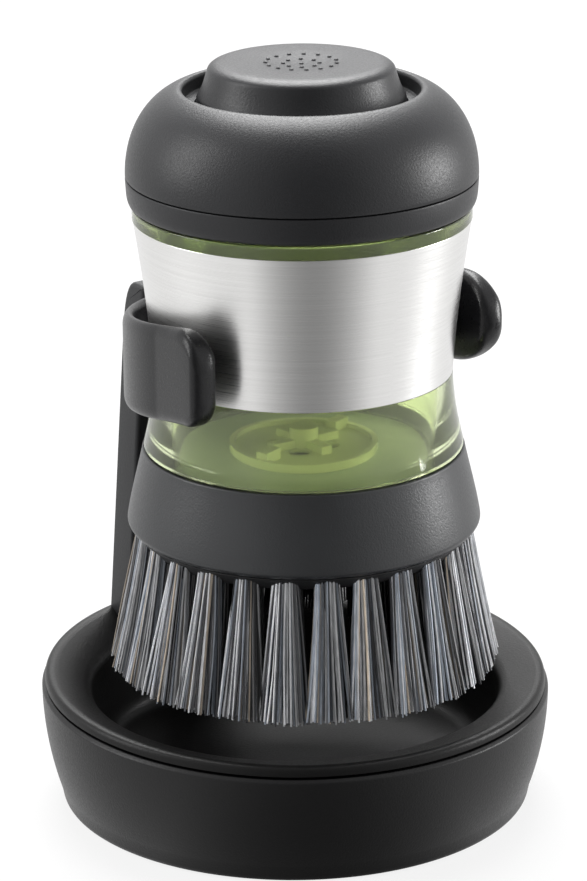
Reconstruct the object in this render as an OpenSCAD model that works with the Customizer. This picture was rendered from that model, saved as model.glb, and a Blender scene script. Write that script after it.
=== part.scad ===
// Palm dish brush with a soap tank in its handle, clipped upright in a holder with a drip tray.
// Millimetres, +Z up, origin at the centre of the base's underside. The clip opens towards -Y.

/* [Base] */
// Diameter of the base at its rim
base_d = 97.6; // [96:0.2:100]
// How far the base's wall curves in towards its foot
wall_in = 4.5; // [4:0.1:4.8]
// Height of the base shell's top edge above the table
base_h = 22.1; // [21:0.1:24]
// Wall of the base shell
base_wall = 2.2; // [1.8:0.1:2.4]
// Floor of the base shell
base_floor = 2.0; // [1.6:0.1:2.4]
// Bevel along the base shell's top edge
base_bevel = 0.6; // [0.3:0.1:1]
// Clear height under the shell, where only the non-slip ring touches
foot_gap = 0.4; // [0.2:0.1:0.8]
// How far the middle of the non-slip ring lies inside the foot's edge
grip_ring_inset = 5.3; // [4:0.1:9]
// Width of the non-slip ring
grip_ring_w = 3.2; // [2:0.2:4]

/* [Drip tray] */
// Height of the tray's rim bead above the shell's top edge
bead_rise = 2.2; // [1.8:0.1:2.8]
// Shadow gap between the bead and the shell's top edge
bead_gap = 0.5; // [0.3:0.1:0.8]
// How far the bead stands inside the base's rim
bead_inset = 0.6; // [0.4:0.1:1]
// Slope of the broad ring inside the bead, in degrees
tray_slope = 16; // [12:1:18]
// Width from the base's rim to the well's upper edge
ring_w = 9.4; // [9.2:0.1:10]
// Height of the well's floor above the table
well_z = 6.6; // [6:0.1:8]
// Wall of the tray
tray_wall = 1.6; // [1.2:0.1:1.8]

/* [Post and clip] */
// Width of the post
post_w = 26; // [20:0.5:28]
// Thickness of the post from front to back
post_t = 7; // [6:0.1:7.6]
// How far the post's back stands inside the base's rim, at the bead
post_inset = 3.3; // [3:0.1:4]
// Forward lean of the post, in degrees
post_lean = 6.4; // [5.5:0.1:7]
// How far the post stands above the clip
post_rise = 1; // [0.5:0.1:2]
// Space between the brush's waist and the clip's band
clip_room = 3.15; // [2.8:0.05:3.5]
// Thickness of the clip's band
clip_t = 2.4; // [2:0.1:2.8]
// Height of the clip
clip_h = 18.2; // [16:0.1:19]
// How far the clip reaches below the steel sleeve
clip_drop = 9.3; // [8.5:0.1:10]
// Slope of the clip: its arms rise from the post towards their tips
clip_tilt = 8.9; // [8:0.1:10]
// Length of the clip's straight arms past the brush's axis
arm_reach = 14.9; // [13:0.1:16]
// Radius of the rounded bead at the end of each arm
tip_r = 2.4; // [2:0.1:2.6]
// Corner radius at the upper end of each arm
tip_upper_r = 8; // [6:0.5:9]
// Corner radius at the lower end of each arm
tip_lower_r = 5; // [3:0.5:7]
// Clearance between the clip's grip ribs and the brush's waist
grip_gap = 0.3; // [0.2:0.05:0.4]

/* [Tank and sleeve] */
// Distance of the brush's axis in front of the base's axis
brush_offset = 3.3; // [2.8:0.1:3.6]
// Height of the seam under the tank above the table
tank_z = 71.7; // [70:0.1:74]
// Diameter of the tank at the seam
tank_low_d = 60.4; // [60:0.1:61]
// Diameter of the waist
waist_d = 56.1; // [55.6:0.1:56.6]
// Height of the bare tank between the seam and the sleeve
window_h = 14.6; // [13:0.1:16]
// Height of the steel sleeve
sleeve_h = 29.5; // [28:0.1:32]
// Diameter of the sleeve at its upper edge
sleeve_top_d = 62.8; // [62:0.1:63]
// Thickness of the steel sheet
sleeve_t = 0.5; // [0.4:0.05:0.7]
// Height of the bare tank between the sleeve and the cap
band_h = 2.8; // [2:0.1:3.2]
// Wall of the tank
tank_wall = 2; // [1.6:0.1:2.2]
// Thickness of the tank's floor
tank_floor = 2.4; // [2:0.1:2.8]
// Depth of the tank's floor below the seam
floor_depth = 2.8; // [2.4:0.1:3.2]
// Width of the tank's shoulder outside its neck
shoulder_w = 2.7; // [2.5:0.1:3]
// Height of the neck above the tank's shoulder
neck_h = 7; // [6.8:0.1:7.6]

/* [Cap and button] */
// How far the cap stands out past the tank
cap_over = 1.1; // [1:0.1:2]
// Height of the cap's lower band
cap_band_h = 5.1; // [4.8:0.1:6]
// Height of the dome above the seam
dome_h = 16.3; // [15.8:0.1:17.5]
// Width of the gap between the button and the cap's lip
lip_gap = 2.5; // [2:0.1:2.8]
// Wall of the dome
dome_wall = 2; // [1.6:0.1:2.2]
// Depth of the ledge inside the opening
ledge_depth = 2.9; // [2.4:0.1:3.2]
// Diameter of the button's skirt
button_d = 38.6; // [38:0.1:39]
// How far the button's side flares from its top to its skirt
button_flare = 2.6; // [2.2:0.1:3.2]
// Height of the button above the cap
button_rise = 4.7; // [4.4:0.1:5.4]
// Travel of the button
stroke = 4; // [3:0.1:4]
// Running clearance round the button
button_gap = 0.3; // [0.25:0.05:0.4]
// Diameter of the raised dots on the button
dot_d = 0.9; // [0.7:0.1:1]

/* [Pump] */
// Width from the button's side to the bore of the pump's cylinder
pump_inset = 6.8; // [6.5:0.1:8]
// Wire of the return spring
wire_d = 0.9; // [0.7:0.1:1]
// Turns of the return spring
spring_turns = 4.5; // [3.5:0.5:5]

/* [Valve] */
// Diameter of the ring round the valve's seat, inside the tank
valve_ring_d = 28.6; // [27:0.1:29]
// Height of that ring above the tank's floor
valve_ring_h = 1.8; // [1.4:0.1:2.2]
// Diameter of the valve housing's barrel
barrel_d = 21.4; // [20:0.1:22]
// Height of the housing's central key above the tank's floor
key_h = 5.2; // [4:0.1:6]
// Outer diameter of the outlet nozzle
nozzle_d = 8; // [7:0.1:10]
// Bore of the outlet nozzle
outlet_d = 3.8; // [3:0.1:3.9]

/* [Brush head] */
// How far the collar stands out past the tank at the seam
collar_step = 0.2; // [0.1:0.1:0.5]
// How far the collar's side flares from the seam to its lower edge
collar_flare = 3; // [2.6:0.1:3.6]
// Height of the collar above its lower edge
collar_h = 14; // [13.8:0.1:15]
// Wall of the collar
collar_wall = 1.8; // [1.5:0.1:1.9]
// Width of the seam between the tank and the collar
seam = 0.3; // [0.2:0.05:0.4]
// Thickness of the bristle plate
plate_t = 3.7; // [3.2:0.1:4]

/* [Bristles] */
// Clearance between the bristle tips and the tray's bead
tip_gap = 4.8; // [4:0.1:6]
// Tufts in the outer row
outer_tufts = 26; // [22:1:28]
// Side length of a strand's section, across its corners
strand_d = 0.7; // [0.5:0.05:0.8]

/* [Hidden] */
$fn = 96;
joint_gap = 0.1;
fit_gap = 0.2;
overlap = 0.4;

base_r = base_d / 2;
foot_r = base_r - wall_in;
edge_r = 0.9;
wall_z = base_h - base_bevel;
wall_rise = wall_z - foot_gap - edge_r;
wall_r = (wall_rise * wall_rise + wall_in * wall_in) / (2 * wall_in);
wall_c = base_r - wall_r;
floor_z = foot_gap + base_floor;
shell_r = base_r - base_wall;
grip_ring_r = foot_r - grip_ring_inset;
grip_ring_depth = 1;

bead_z = base_h + bead_gap;
crest_z = base_h + bead_rise;
bead_r = base_r - bead_inset;
crest_r = bead_r - 1.3;
ring_r = crest_r - 0.9;
well_r = base_r - ring_w;
well_edge = 1.1;
well_round = 3;
well_draft = 2;
skirt_r = shell_r - fit_gap;
skirt_t = 1.4;
tray_ledge_z = base_h - 2.9;
slope_z = crest_z - 0.15 - (ring_r - well_r) * tan(tray_slope);

tongue_r = well_r + tray_wall + 0.4;
tongue_t = shell_r - 2.2 - tongue_r;
tongue_z = 8;
tongue_gap = 0.2;
tongue_w = post_w - 0.4;

sleeve_z = tank_z + window_h;
sleeve_top = sleeve_z + sleeve_h;
cap_z = sleeve_top + band_h;
shoulder_z = cap_z - seam;
seam_z = cap_z + cap_band_h;
rim_z = seam_z + dome_h;
button_z = rim_z + button_rise;

waist_r = waist_d / 2;
clip_r = waist_r + clip_room;
sleeve_top_r = sleeve_top_d / 2;
tank_low_r = tank_low_d / 2;
tank_floor_z = tank_z - floor_depth;
tank_under_z = tank_floor_z - tank_floor;
neck_z = shoulder_z + neck_h;
band_r = sleeve_top_r + 0.1;
neck_r = band_r - shoulder_w;
curve_steps = 12;

clip_z = sleeve_z - clip_drop;
clip_top = clip_z + clip_h;
post_top = clip_top + post_rise;
post_back = base_r - post_inset;
rib_h = 2;
saddle_w = 18;
saddle_y = sqrt(pow(clip_r + clip_t, 2) - pow(saddle_w / 2, 2)) - brush_offset - 0.5;

gasket_t = 1.2;
gasket_z = neck_z + joint_gap;
deck_z = gasket_z + gasket_t;
deck_t = 2;
deck_top = deck_z + deck_t;
cap_r = band_r + cap_over;
plug_r = cap_r - dome_wall - fit_gap;
skirt_in_r = neck_r + 0.3;

button_r = button_d / 2;
opening_r = button_r + lip_gap;
ledge_z = rim_z - ledge_depth;
ledge_t = 1.5;
flange_z = ledge_z - ledge_t - button_gap;
flange_t = 1.5;
button_wall = 1.8;
button_in_z = button_z - 2.1;
dish_depth = 0.5;
dish_r = 11;
dot_rings = [[0, 1], [3.34, 8], [6.57, 15]];
dot_h = 0.25;

pump_r = button_r - pump_inset;
pump_wall = 1.8;
pump_h = 9.3;
pump_top = deck_top + pump_h;
piston_t = 2.5;
piston_top = pump_top - 0.8;
piston_gap = 0.3;
seal_gap = 0.05;
seal_w = 1.4;
seal_h = 1.1;
stem_r = 2.9;
spring_r = pump_r + pump_wall + 1.6;
spring_top = button_in_z - 4.6;

collar_top_r = tank_low_r + collar_step;
collar_r = collar_top_r + collar_flare;
collar_top = tank_z - seam;
collar_low = collar_top - collar_h;
chamfer_z = collar_low - 1.5;
chamfer_r = collar_r - 1.1;
collar_web_t = 1.8;
collar_web_z = tank_under_z - 0.8 - collar_web_t;
plate_top = collar_low + 0.4;
plate_z = plate_top - plate_t;
slice_t = 1;
face_z = plate_z - slice_t;
plate_r = chamfer_r - 2.6;
face_r = chamfer_r - 2;
tip_z = crest_z + tip_gap;

valve_ring_r = valve_ring_d / 2;
barrel_r = barrel_d / 2;
barrel_wall = 1.7;
barrel_z = plate_top + 1.9;
valve_seat_z = barrel_z + 1.2;
valve_flange = 1.2;
nozzle_r = nozzle_d / 2;
seal_ring_r = barrel_r + 1.6;
seal_ring_wire = 0.55;

// How far inside the face's edge each row of tufts leaves the plate, and its outward lean in degrees
row_inset = [-0.9, 5.1, 11.5, 17.7];
row_r = [for (inset = row_inset) face_r - inset];
row_lean = [10.6, 8, 5.5, 3];
row_tufts = [outer_tufts, 22, 16, 10];
row_strands = [7, 6, 5, 4];

// Points of an arc round c, from angle a0 to angle a1
function arc_points(c, r, a0, a1, n) =
    [for (i = [0:n]) let (a = a0 + (a1 - a0) * i / n) [c[0] + r * cos(a), c[1] + r * sin(a)]];

// Points of a cubic curve from p[0] to p[3], pulled towards p[1] and p[2]
function curve_points(p, n) =
    [for (i = [0:n]) let (t = i / n, s = 1 - t)
        s * s * s * p[0] + 3 * s * s * t * p[1] + 3 * s * t * t * p[2] + t * t * t * p[3]];

function moved(points, by) = [for (p = points) p + by];

function reversed(points) = [for (i = [len(points) - 1:-1:0]) points[i]];

// Outer side of the bare tank below the sleeve, from the seam up to the waist
function window_curve() = curve_points([
    [tank_low_r, tank_z],
    [tank_low_r - 0.7, tank_z + 0.22 * window_h],
    [waist_r + 0.15, tank_z + 0.54 * window_h],
    [waist_r, sleeve_z]], curve_steps);

// Outer side of the steel sleeve, from the waist up to its flared top
function sleeve_curve() = curve_points([
    [waist_r, sleeve_z],
    [waist_r + 0.4, sleeve_z + 0.3 * sleeve_h],
    [sleeve_top_r - 1.5, sleeve_z + 0.68 * sleeve_h],
    [sleeve_top_r, sleeve_top]], curve_steps);

// Distance of the post's back and front faces from the base's axis, at height z
function post_back_y(z) = post_back - (z - crest_z) * tan(post_lean);
function post_front_y(z) = post_back_y(z) - post_t;

module at_brush() {
    translate([0, -brush_offset, 0])
        children();
}

// Upright tube or ring, from r0 to r1 and from z0 to z1
module tube(r0, r1, z0, z1) {
    rotate_extrude()
        translate([r0, z0])
            square([r1 - r0, z1 - z0]);
}

// Extrudes a profile drawn in Y and Z along X, centred on the plane of symmetry
module along_x(width) {
    rotate([90, 0, 90])
        linear_extrude(height = width, center = true)
            children();
}

// Outline of the base shell's wall, floor and tray ledge
module base_shell() {
    inner_r = wall_r - base_wall;
    inner_low = -asin((wall_z - floor_z) / inner_r);
    inner_high = -asin((wall_z - tray_ledge_z + 3.2) / inner_r);
    ledge_r = shell_r - 1.9;
    outline = concat(
        [[0, foot_gap], [grip_ring_r - grip_ring_w / 2, foot_gap],
         [grip_ring_r - grip_ring_w / 2, foot_gap + grip_ring_depth],
         [grip_ring_r + grip_ring_w / 2, foot_gap + grip_ring_depth],
         [grip_ring_r + grip_ring_w / 2, foot_gap], [foot_r - edge_r, foot_gap],
         [foot_r - 0.3 * edge_r, foot_gap + 0.3 * edge_r]],
        arc_points([wall_c, wall_z], wall_r, -asin(wall_rise / wall_r), 0, 10),
        [[base_r - base_bevel, base_h], [shell_r, base_h], [shell_r, tray_ledge_z],
         [ledge_r, tray_ledge_z], [ledge_r, tray_ledge_z - 1]],
        arc_points([wall_c, wall_z], inner_r, inner_high, inner_low, 8),
        [[0, floor_z]]);
    color("#2b2c2e") {
        rotate_extrude()
            polygon(outline);
        tongue_socket();
    }
}

// Two ribs and a stop that take the post's tongue
module tongue_socket() {
    rib_t = 1.8;
    intersection() {
        union() {
            for (side = [-1, 1])
                translate([side * (tongue_w / 2 + tongue_gap + rib_t / 2) - rib_t / 2, 0, 0])
                    cube([rib_t, base_r, tray_ledge_z - 1]);
            translate([-tongue_w / 2 - tongue_gap, 0, 0])
                cube([tongue_w + 2 * tongue_gap, base_r, tongue_z - joint_gap]);
        }
        tube(tongue_r - 0.3, tongue_r + tongue_t + 0.5, floor_z - overlap, tray_ledge_z);
    }
}

module non_slip_ring() {
    half = grip_ring_w / 2 - joint_gap;
    top = foot_gap + grip_ring_depth;
    soft = 0.35;
    color("#3a3b3c")
        rotate_extrude()
            polygon([[grip_ring_r - half + soft, 0], [grip_ring_r + half - soft, 0],
                     [grip_ring_r + half, soft], [grip_ring_r + half, top],
                     [grip_ring_r - half, top], [grip_ring_r - half, soft]]);
}

// Upper side of the tray, from the bead's lower edge to the middle of the well
function tray_top() = concat(
    [[bead_r, bead_z]],
    curve_points([[bead_r, bead_z + 0.3], [bead_r, crest_z - 0.3],
                  [crest_r + 0.7, crest_z], [crest_r, crest_z]], 6),
    [[ring_r, crest_z - 0.15]],
    curve_points([[well_r + well_edge, slope_z + well_edge * tan(tray_slope)],
                  [well_r + 0.4 * well_edge, slope_z + 0.3 * well_edge * tan(tray_slope)],
                  [well_r, slope_z - 0.3], [well_r, slope_z - well_edge]], 5),
    arc_points([well_r - well_draft - well_round, well_z + well_round], well_round, 0, -90, 6),
    [[0, well_z]]);

module drip_tray() {
    outline = concat(
        tray_top(),
        [[0, well_z - tray_wall]],
        arc_points([well_r - well_draft - well_round, well_z + well_round],
                   well_round + tray_wall, -90, 0, 6),
        [[well_r + tray_wall, slope_z - well_edge - 0.6],
         [well_r + tray_wall + 0.2, slope_z - tray_wall],
         [skirt_r - skirt_t, slope_z + (skirt_r - skirt_t - well_r) * tan(tray_slope) - tray_wall],
         [skirt_r - skirt_t, tray_ledge_z], [skirt_r, tray_ledge_z], [skirt_r, bead_z]]);
    color("#232426")
        difference() {
            rotate_extrude()
                polygon(outline);
            intersection() {
                tube(tongue_r - tongue_gap, tongue_r + tongue_t + tongue_gap, well_z, crest_z + 1);
                translate([-tongue_w / 2 - tongue_gap, 0, 0])
                    cube([tongue_w + 2 * tongue_gap, base_r, crest_z + 1]);
            }
        }
}

// Leaning post: its foot follows the tray's surface, and its tongue goes down into the base
module back_post() {
    start_z = slope_z - 1;
    round_z = 7.5;
    round_y = 4.7;
    yt = post_back_y(post_top);
    yr = post_back_y(post_top - round_z);
    side = concat(
        [[post_front_y(start_z), start_z], [post_back_y(start_z), start_z]],
        curve_points([[yr, post_top - round_z], [yr - 0.4, post_top - 0.45 * round_z],
                      [yt - 1.7, post_top], [yt - round_y, post_top]], 8),
        [[yt - post_t + 1, post_top], [post_front_y(post_top - 1), post_top - 1]]);
    color("#2b2c2e") {
        difference() {
            along_x(post_w)
                polygon(side);
            rotate_extrude()
                polygon(concat([[0, 0], [base_r, 0], [base_r, bead_z + joint_gap]],
                               moved(tray_top(), [0, joint_gap])));
            clip_peg(joint_gap);
            at_brush()
                cylinder_from(clip_r + clip_t + joint_gap, clip_z - 1, post_top + 1);
        }
        intersection() {
            tube(tongue_r, tongue_r + tongue_t, tongue_z, crest_z + 1);
            translate([-tongue_w / 2, 0, 0])
                cube([tongue_w, base_r, crest_z + 1]);
        }
    }
}

// Peg on the clip's back that seats in the post
module clip_peg(grow) {
    peg_w = 12;
    peg_h = 8;
    peg_z = clip_z + (clip_h - peg_h) / 2;
    peg_end = post_front_y(clip_z + clip_h / 2) + 3.4;
    translate([-peg_w / 2 - grow, saddle_y, peg_z - grow])
        cube([peg_w + 2 * grow, peg_end - saddle_y + grow, peg_h + 2 * grow]);
}

// Plan of the clip: a half round behind the brush and straight sides towards -Y
module u_plan(r, reach) {
    intersection() {
        circle(r);
        translate([-r, -1])
            square([2 * r, r + 1]);
    }
    translate([-r, -reach])
        square([2 * r, reach]);
}

// Silhouette of the brush between the tank's seam and the sleeve's top, grown by gap
function waist_side(gap) = moved(concat(window_curve(), sleeve_curve()), [gap, 0]);

// Space that the brush's waist needs, standing in the clip and sliding out of it
module waist_space(gap) {
    side = waist_side(gap);
    rotate_extrude()
        polygon(concat([[0, tank_z]], side, [[0, sleeve_top]]));
    rotate([90, 0, 0])
        linear_extrude(height = 2 * arm_reach)
            polygon(concat(side, reversed([for (p = side) [-p[0], p[1]]])));
}

// How far the sloping clip has risen at a place y, seen from the brush's axis
function clip_rise(y) = (clip_r + clip_t - y) * tan(clip_tilt);

function risen(points) = [for (p = points) [p[0], p[1] + clip_rise(p[0])]];

// Upright walls of the arms and their end beads, cut by the clip's sloping side outline
module clip_arms() {
    bead_x = clip_r + clip_t / 2 - 0.3;
    far = clip_r + clip_t + brush_offset;
    tip_y = -arm_reach - tip_r;
    wall_h = clip_h + clip_rise(tip_y) + 2;
    intersection() {
        translate([0, 0, clip_z - 1]) {
            linear_extrude(height = wall_h)
                difference() {
                    u_plan(clip_r + clip_t, arm_reach);
                    u_plan(clip_r, arm_reach + 1);
                }
            for (side = [-1, 1])
                translate([side * bead_x, -arm_reach, 0])
                    cylinder(r = tip_r, h = wall_h);
        }
        along_x(3 * clip_r)
            polygon(risen(concat(
                arc_points([tip_y + tip_lower_r, clip_z + tip_lower_r], tip_lower_r, 180, 270, 8),
                [[far, clip_z], [far, clip_top]],
                arc_points([tip_y + tip_upper_r, clip_top - tip_upper_r],
                           tip_upper_r, 90, 180, 10))));
    }
}

module grip_clip() {
    low = clip_z + 1;
    high = clip_top - 0.6;
    rib_reach = arm_reach - 3;
    rib_z = clip_z + clip_rise(-rib_reach) + 0.8;
    color("#26272a") {
        at_brush() {
            clip_arms();
            for (z = [rib_z, rib_z + 2.5 * rib_h])
                difference() {
                    translate([0, 0, z])
                        linear_extrude(height = rib_h)
                            u_plan(clip_r + overlap, rib_reach);
                    waist_space(grip_gap);
                }
        }
        along_x(saddle_w)
            polygon([[saddle_y, low], [post_front_y(low) - joint_gap, low],
                     [post_front_y(high) - joint_gap, high], [saddle_y, high]]);
        clip_peg(0);
    }
}

module tank() {
    inset = sleeve_t + 0.05;
    under_r = tank_low_r - 2;
    inner = inset + tank_wall;
    outline = concat(
        [[barrel_r + fit_gap, tank_under_z], [under_r - 0.6, tank_under_z],
         [under_r, tank_under_z + 0.6], [under_r, tank_z]],
        window_curve(),
        moved(sleeve_curve(), [-inset, 0]),
        [[band_r, sleeve_top], [band_r, shoulder_z - 0.3], [band_r - 0.3, shoulder_z],
         [neck_r, shoulder_z], [neck_r, neck_z], [neck_r - 2.2, neck_z],
         [neck_r - 2.2, sleeve_top]],
        [for (p = reversed(sleeve_curve())) if (p[0] - inner < neck_r - 2.2) [p[0] - inner, p[1]]],
        [[waist_r - inner, tank_z + 4],
         [waist_r - inner + 0.4, tank_floor_z + 1.2], [waist_r - inner - 0.8, tank_floor_z],
         [barrel_r + fit_gap, tank_floor_z]]);
    color([0.6, 0.72, 0.2, 0.6])
        at_brush()
            difference() {
                rotate_extrude()
                    polygon(outline);
                tube(seal_ring_r - 0.9, seal_ring_r + 0.9, tank_floor_z - 1.2, tank_floor_z + 1);
            }
}

module steel_sleeve() {
    color("#c9cacc")
        at_brush()
            rotate_extrude()
                polygon(concat(sleeve_curve(), reversed(moved(sleeve_curve(), [-sleeve_t, 0]))));
}

// Insert in the tank's floor: a ring, a barrel that carries the valve, and a key to turn it by
module valve_housing() {
    ring_w = 1.1;
    disc_t = 0.8;
    window_r = 7.6;
    hub_r = 2.8;
    key_w = 2.2;
    lug_w = 2.4;
    lug_l = 4.4;
    lug_in = 4;
    top = tank_floor_z + joint_gap;
    stop_z = valve_seat_z + valve_flange + joint_gap;
    color([0.62, 0.72, 0.3])
        at_brush() {
            difference() {
                union() {
                    tube(0, valve_ring_r, top, top + disc_t);
                    tube(barrel_r - barrel_wall, barrel_r, barrel_z, top + overlap);
                    tube(barrel_r - barrel_wall - 1.6, barrel_r - 0.2, stop_z, stop_z + 1.5);
                }
                for (a = [45:90:315])
                    rotate([0, 0, a])
                        translate([window_r * 0.66, 0, top - 1])
                            cylinder(r = 2, h = disc_t + 2);
            }
            tube(valve_ring_r - ring_w, valve_ring_r, top, top + valve_ring_h);
            cylinder_from(hub_r, top, tank_floor_z + key_h);
            for (a = [0, 90])
                rotate([0, 0, a])
                    translate([-window_r, -key_w / 2, top])
                        cube([2 * window_r, key_w, 0.5 * key_h]);
            for (a = [20, 200])
                rotate([0, 0, a])
                    translate([valve_ring_r - ring_w - lug_in, -lug_w / 2, top])
                        cube([lug_l, lug_w, 0.62 * key_h]);
        }
}

module cylinder_from(r, z0, z1) {
    translate([0, 0, z0])
        cylinder(r = r, h = z1 - z0);
}

module housing_seal() {
    color("#6f7a3a")
        at_brush()
            rotate_extrude()
                translate([seal_ring_r, tank_floor_z - seal_ring_wire - 0.05])
                    circle(r = seal_ring_wire);
}

// Soft outlet valve: a clamped flange and a domed lip with a slit
module outlet_valve() {
    clamp_r = barrel_r - barrel_wall - joint_gap;
    low = valve_seat_z;
    color([0.85, 0.87, 0.8])
        at_brush()
            difference() {
                rotate_extrude()
                    polygon([[0, low - 0.9], [1.6, low - 0.85], [2.9, low - 0.3], [3.6, low],
                             [clamp_r, low], [clamp_r, low + valve_flange],
                             [3.6, low + valve_flange], [2.6, low + 0.5], [1.5, low + 0.05],
                             [0, low]]);
                translate([-1.8, -0.15, low - 2])
                    cube([3.6, 0.3, 3]);
            }
}

// Cover that holds the valve in its barrel and carries the outlet nozzle
module valve_retainer() {
    bore = outlet_d / 2;
    low = barrel_z;
    color("#3c4022")
        at_brush()
            rotate_extrude()
                polygon([[bore, plate_z + 0.2], [nozzle_r - 0.4, plate_z + 0.2], [nozzle_r, plate_z + 0.6],
                         [nozzle_r, low - 1.6], [barrel_r, low - 1.6], [barrel_r, low - joint_gap],
                         [barrel_r - barrel_wall - joint_gap, low - joint_gap],
                         [barrel_r - barrel_wall - joint_gap, valve_seat_z - joint_gap],
                         [barrel_r - barrel_wall - 1.6, valve_seat_z - joint_gap],
                         [barrel_r - barrel_wall - 1.6, low], [bore, low]]);
}

module cap_gasket() {
    color("#55575a")
        at_brush()
            tube(neck_r - 2, neck_r - 0.1, gasket_z, gasket_z + gasket_t);
}

// Decorative dome of the cap, with the lip, the opening and the ledge that stops the button
module cap_dome() {
    lip_r = opening_r + 0.9;
    outer = curve_points([[cap_r, seam_z + 0.2], [cap_r, seam_z + 0.42 * dome_h],
                          [cap_r - 3.9, rim_z - 3.1], [lip_r, rim_z - 0.1]], 14);
    inner = curve_points([[opening_r + 1.6, ledge_z - ledge_t],
                          [cap_r - dome_wall - 4.2, ledge_z - ledge_t - 1],
                          [cap_r - dome_wall, seam_z + 0.44 * dome_h],
                          [cap_r - dome_wall, seam_z]], 10);
    color("#2d2e30")
        at_brush()
            rotate_extrude()
                polygon(concat(
                    [[cap_r - 0.2, seam_z]], outer,
                    curve_points([[lip_r - 0.3, rim_z - 0.02], [lip_r - 0.7, rim_z],
                                  [opening_r, rim_z - 0.2], [opening_r, rim_z - 0.9]], 5),
                    [[opening_r - 0.1, ledge_z], [button_r + button_gap, ledge_z],
                     [button_r + button_gap, ledge_z - ledge_t]],
                    inner));
}

// Threaded core of the cap: the visible lower band, the sealing deck and the pump's cylinder
module cap_core() {
    seat_r = 4.2;
    color("#2d2e30")
        at_brush()
            difference() {
                rotate_extrude()
                    polygon([[0, deck_z], [skirt_in_r, deck_z], [skirt_in_r, cap_z],
                             [cap_r - 0.9, cap_z], [cap_r - 0.4, cap_z + 0.4],
                             [cap_r - 0.1, cap_z + 2], [cap_r, seam_z - 0.6],
                             [cap_r - 0.15, seam_z - 0.05],
                             [plug_r, seam_z - 0.05], [plug_r, seam_z + 1.5],
                             [plug_r - 1.2, deck_top],
                             [pump_r + pump_wall, deck_top], [pump_r + pump_wall, pump_top],
                             [pump_r, pump_top], [pump_r, deck_top], [0, deck_top]]);
                cylinder_from(1.5, deck_z - 1, deck_top + 1);
                for (a = [0:90:270])
                    rotate([0, 0, a])
                        translate([seat_r - 1.3, 0, deck_z - 1])
                            cylinder(r = 0.6, h = deck_t + 2);
            }
}

// Soft umbrella valve that lets air into the tank and no liquid out
module air_valve() {
    color([0.85, 0.87, 0.8])
        at_brush()
            rotate_extrude()
                polygon([[0, deck_z - 1], [3.2, deck_z - 0.7], [4.3, deck_z - joint_gap],
                         [1.4, deck_z - joint_gap], [1.4, deck_top + joint_gap],
                         [2, deck_top + 0.3], [1, deck_top + 1.2], [0, deck_top + 1.2]]);
}

// Spring wire: one tube swept along a helix, with its ends flattened against their seats
function helix_height(t) =
    let (ease = 0.12)
    t < ease ? 0.5 * t * t / ease / (1 - ease)
    : t > 1 - ease ? 1 - 0.5 * (1 - t) * (1 - t) / ease / (1 - ease)
    : (t - 0.5 * ease) / (1 - ease);

module return_spring() {
    sides = 6;
    rings = ceil(spring_turns * 20);
    low = deck_top + wire_d / 2 + joint_gap;
    high = spring_top - wire_d / 2 - joint_gap;
    points = [for (i = [0:rings]) let (t = i / rings, a = 360 * spring_turns * t)
        for (k = [0:sides - 1]) let (b = 360 * k / sides, r = spring_r + wire_d / 2 * cos(b))
            [r * cos(a), r * sin(a), low + (high - low) * helix_height(t) + wire_d / 2 * sin(b)]];
    walls = [for (i = [0:rings - 1]) for (k = [0:sides - 1])
        let (p = i * sides + k, q = i * sides + (k + 1) % sides)
            each [[p, p + sides, q], [q, p + sides, q + sides]]];
    first = [for (k = [1:sides - 2]) [0, k, k + 1]];
    last = [for (k = [1:sides - 2]) [rings * sides, rings * sides + k + 1, rings * sides + k]];
    color("#b8bab8")
        at_brush()
            polyhedron(points = points, faces = concat(walls, first, last));
}

module button() {
    top_r = button_r - button_flare;
    foot_z = rim_z - 1.6;
    boss_r = 4.6;
    color("#313234")
        at_brush() {
            rotate_extrude()
                polygon(concat(
                    [[0, button_z - dish_depth]],
                    [for (i = [1:6]) let (r = dish_r * i / 6)
                        [r, button_z - dish_depth * (1 + cos(180 * i / 6)) / 2]],
                    arc_points([top_r - 1, button_z - 1], 1, 90, 25, 4),
                    curve_points([[top_r + 0.4, button_z - 1.6], [top_r + 1.1, button_z - 3],
                                  [button_r - 0.9, foot_z + 0.9], [button_r - 0.2, foot_z]], 5),
                    [[button_r, foot_z - 0.5], [button_r, flange_z],
                     [button_r + 1.7, flange_z], [button_r + 1.7, flange_z - flange_t],
                     [button_r - button_wall, flange_z - flange_t],
                     [button_r - button_wall, spring_top], [spring_r - 1, spring_top],
                     [spring_r - 1, button_in_z], [boss_r, button_in_z],
                     [boss_r, piston_top + joint_gap], [stem_r + joint_gap, piston_top + joint_gap],
                     [stem_r + joint_gap, button_in_z - 0.6], [0, button_in_z - 0.6]]));
            for (ring = dot_rings)
                for (i = [0:ring[1] - 1])
                    rotate([0, 0, 360 * i / ring[1]])
                        translate([ring[0], 0, dish_z(ring[0]) - 0.3])
                            cylinder(r = dot_d / 2, h = dot_h + 0.3, $fn = 24);
        }
}

// Height of the button's dished top at radius r
function dish_z(r) = button_z - dish_depth * (1 + cos(180 * r / dish_r)) / 2;

module pump_piston() {
    low = piston_top - piston_t;
    r = pump_r - piston_gap;
    groove_r = pump_r - seal_gap - seal_w;
    groove_z = low + (piston_t - seal_h) / 2;
    color("#d8dad6")
        at_brush()
            rotate_extrude()
                polygon([[0, low], [r, low], [r, groove_z - joint_gap],
                         [groove_r - joint_gap, groove_z - joint_gap],
                         [groove_r - joint_gap, groove_z + seal_h + joint_gap],
                         [r, groove_z + seal_h + joint_gap], [r, piston_top],
                         [stem_r, piston_top], [stem_r, button_in_z - 1], [0, button_in_z - 1]]);
}

module piston_seal() {
    z = piston_top - piston_t + (piston_t - seal_h) / 2;
    color("#3f4143")
        at_brush()
            tube(pump_r - seal_gap - seal_w, pump_r - seal_gap, z, z + seal_h);
}

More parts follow.
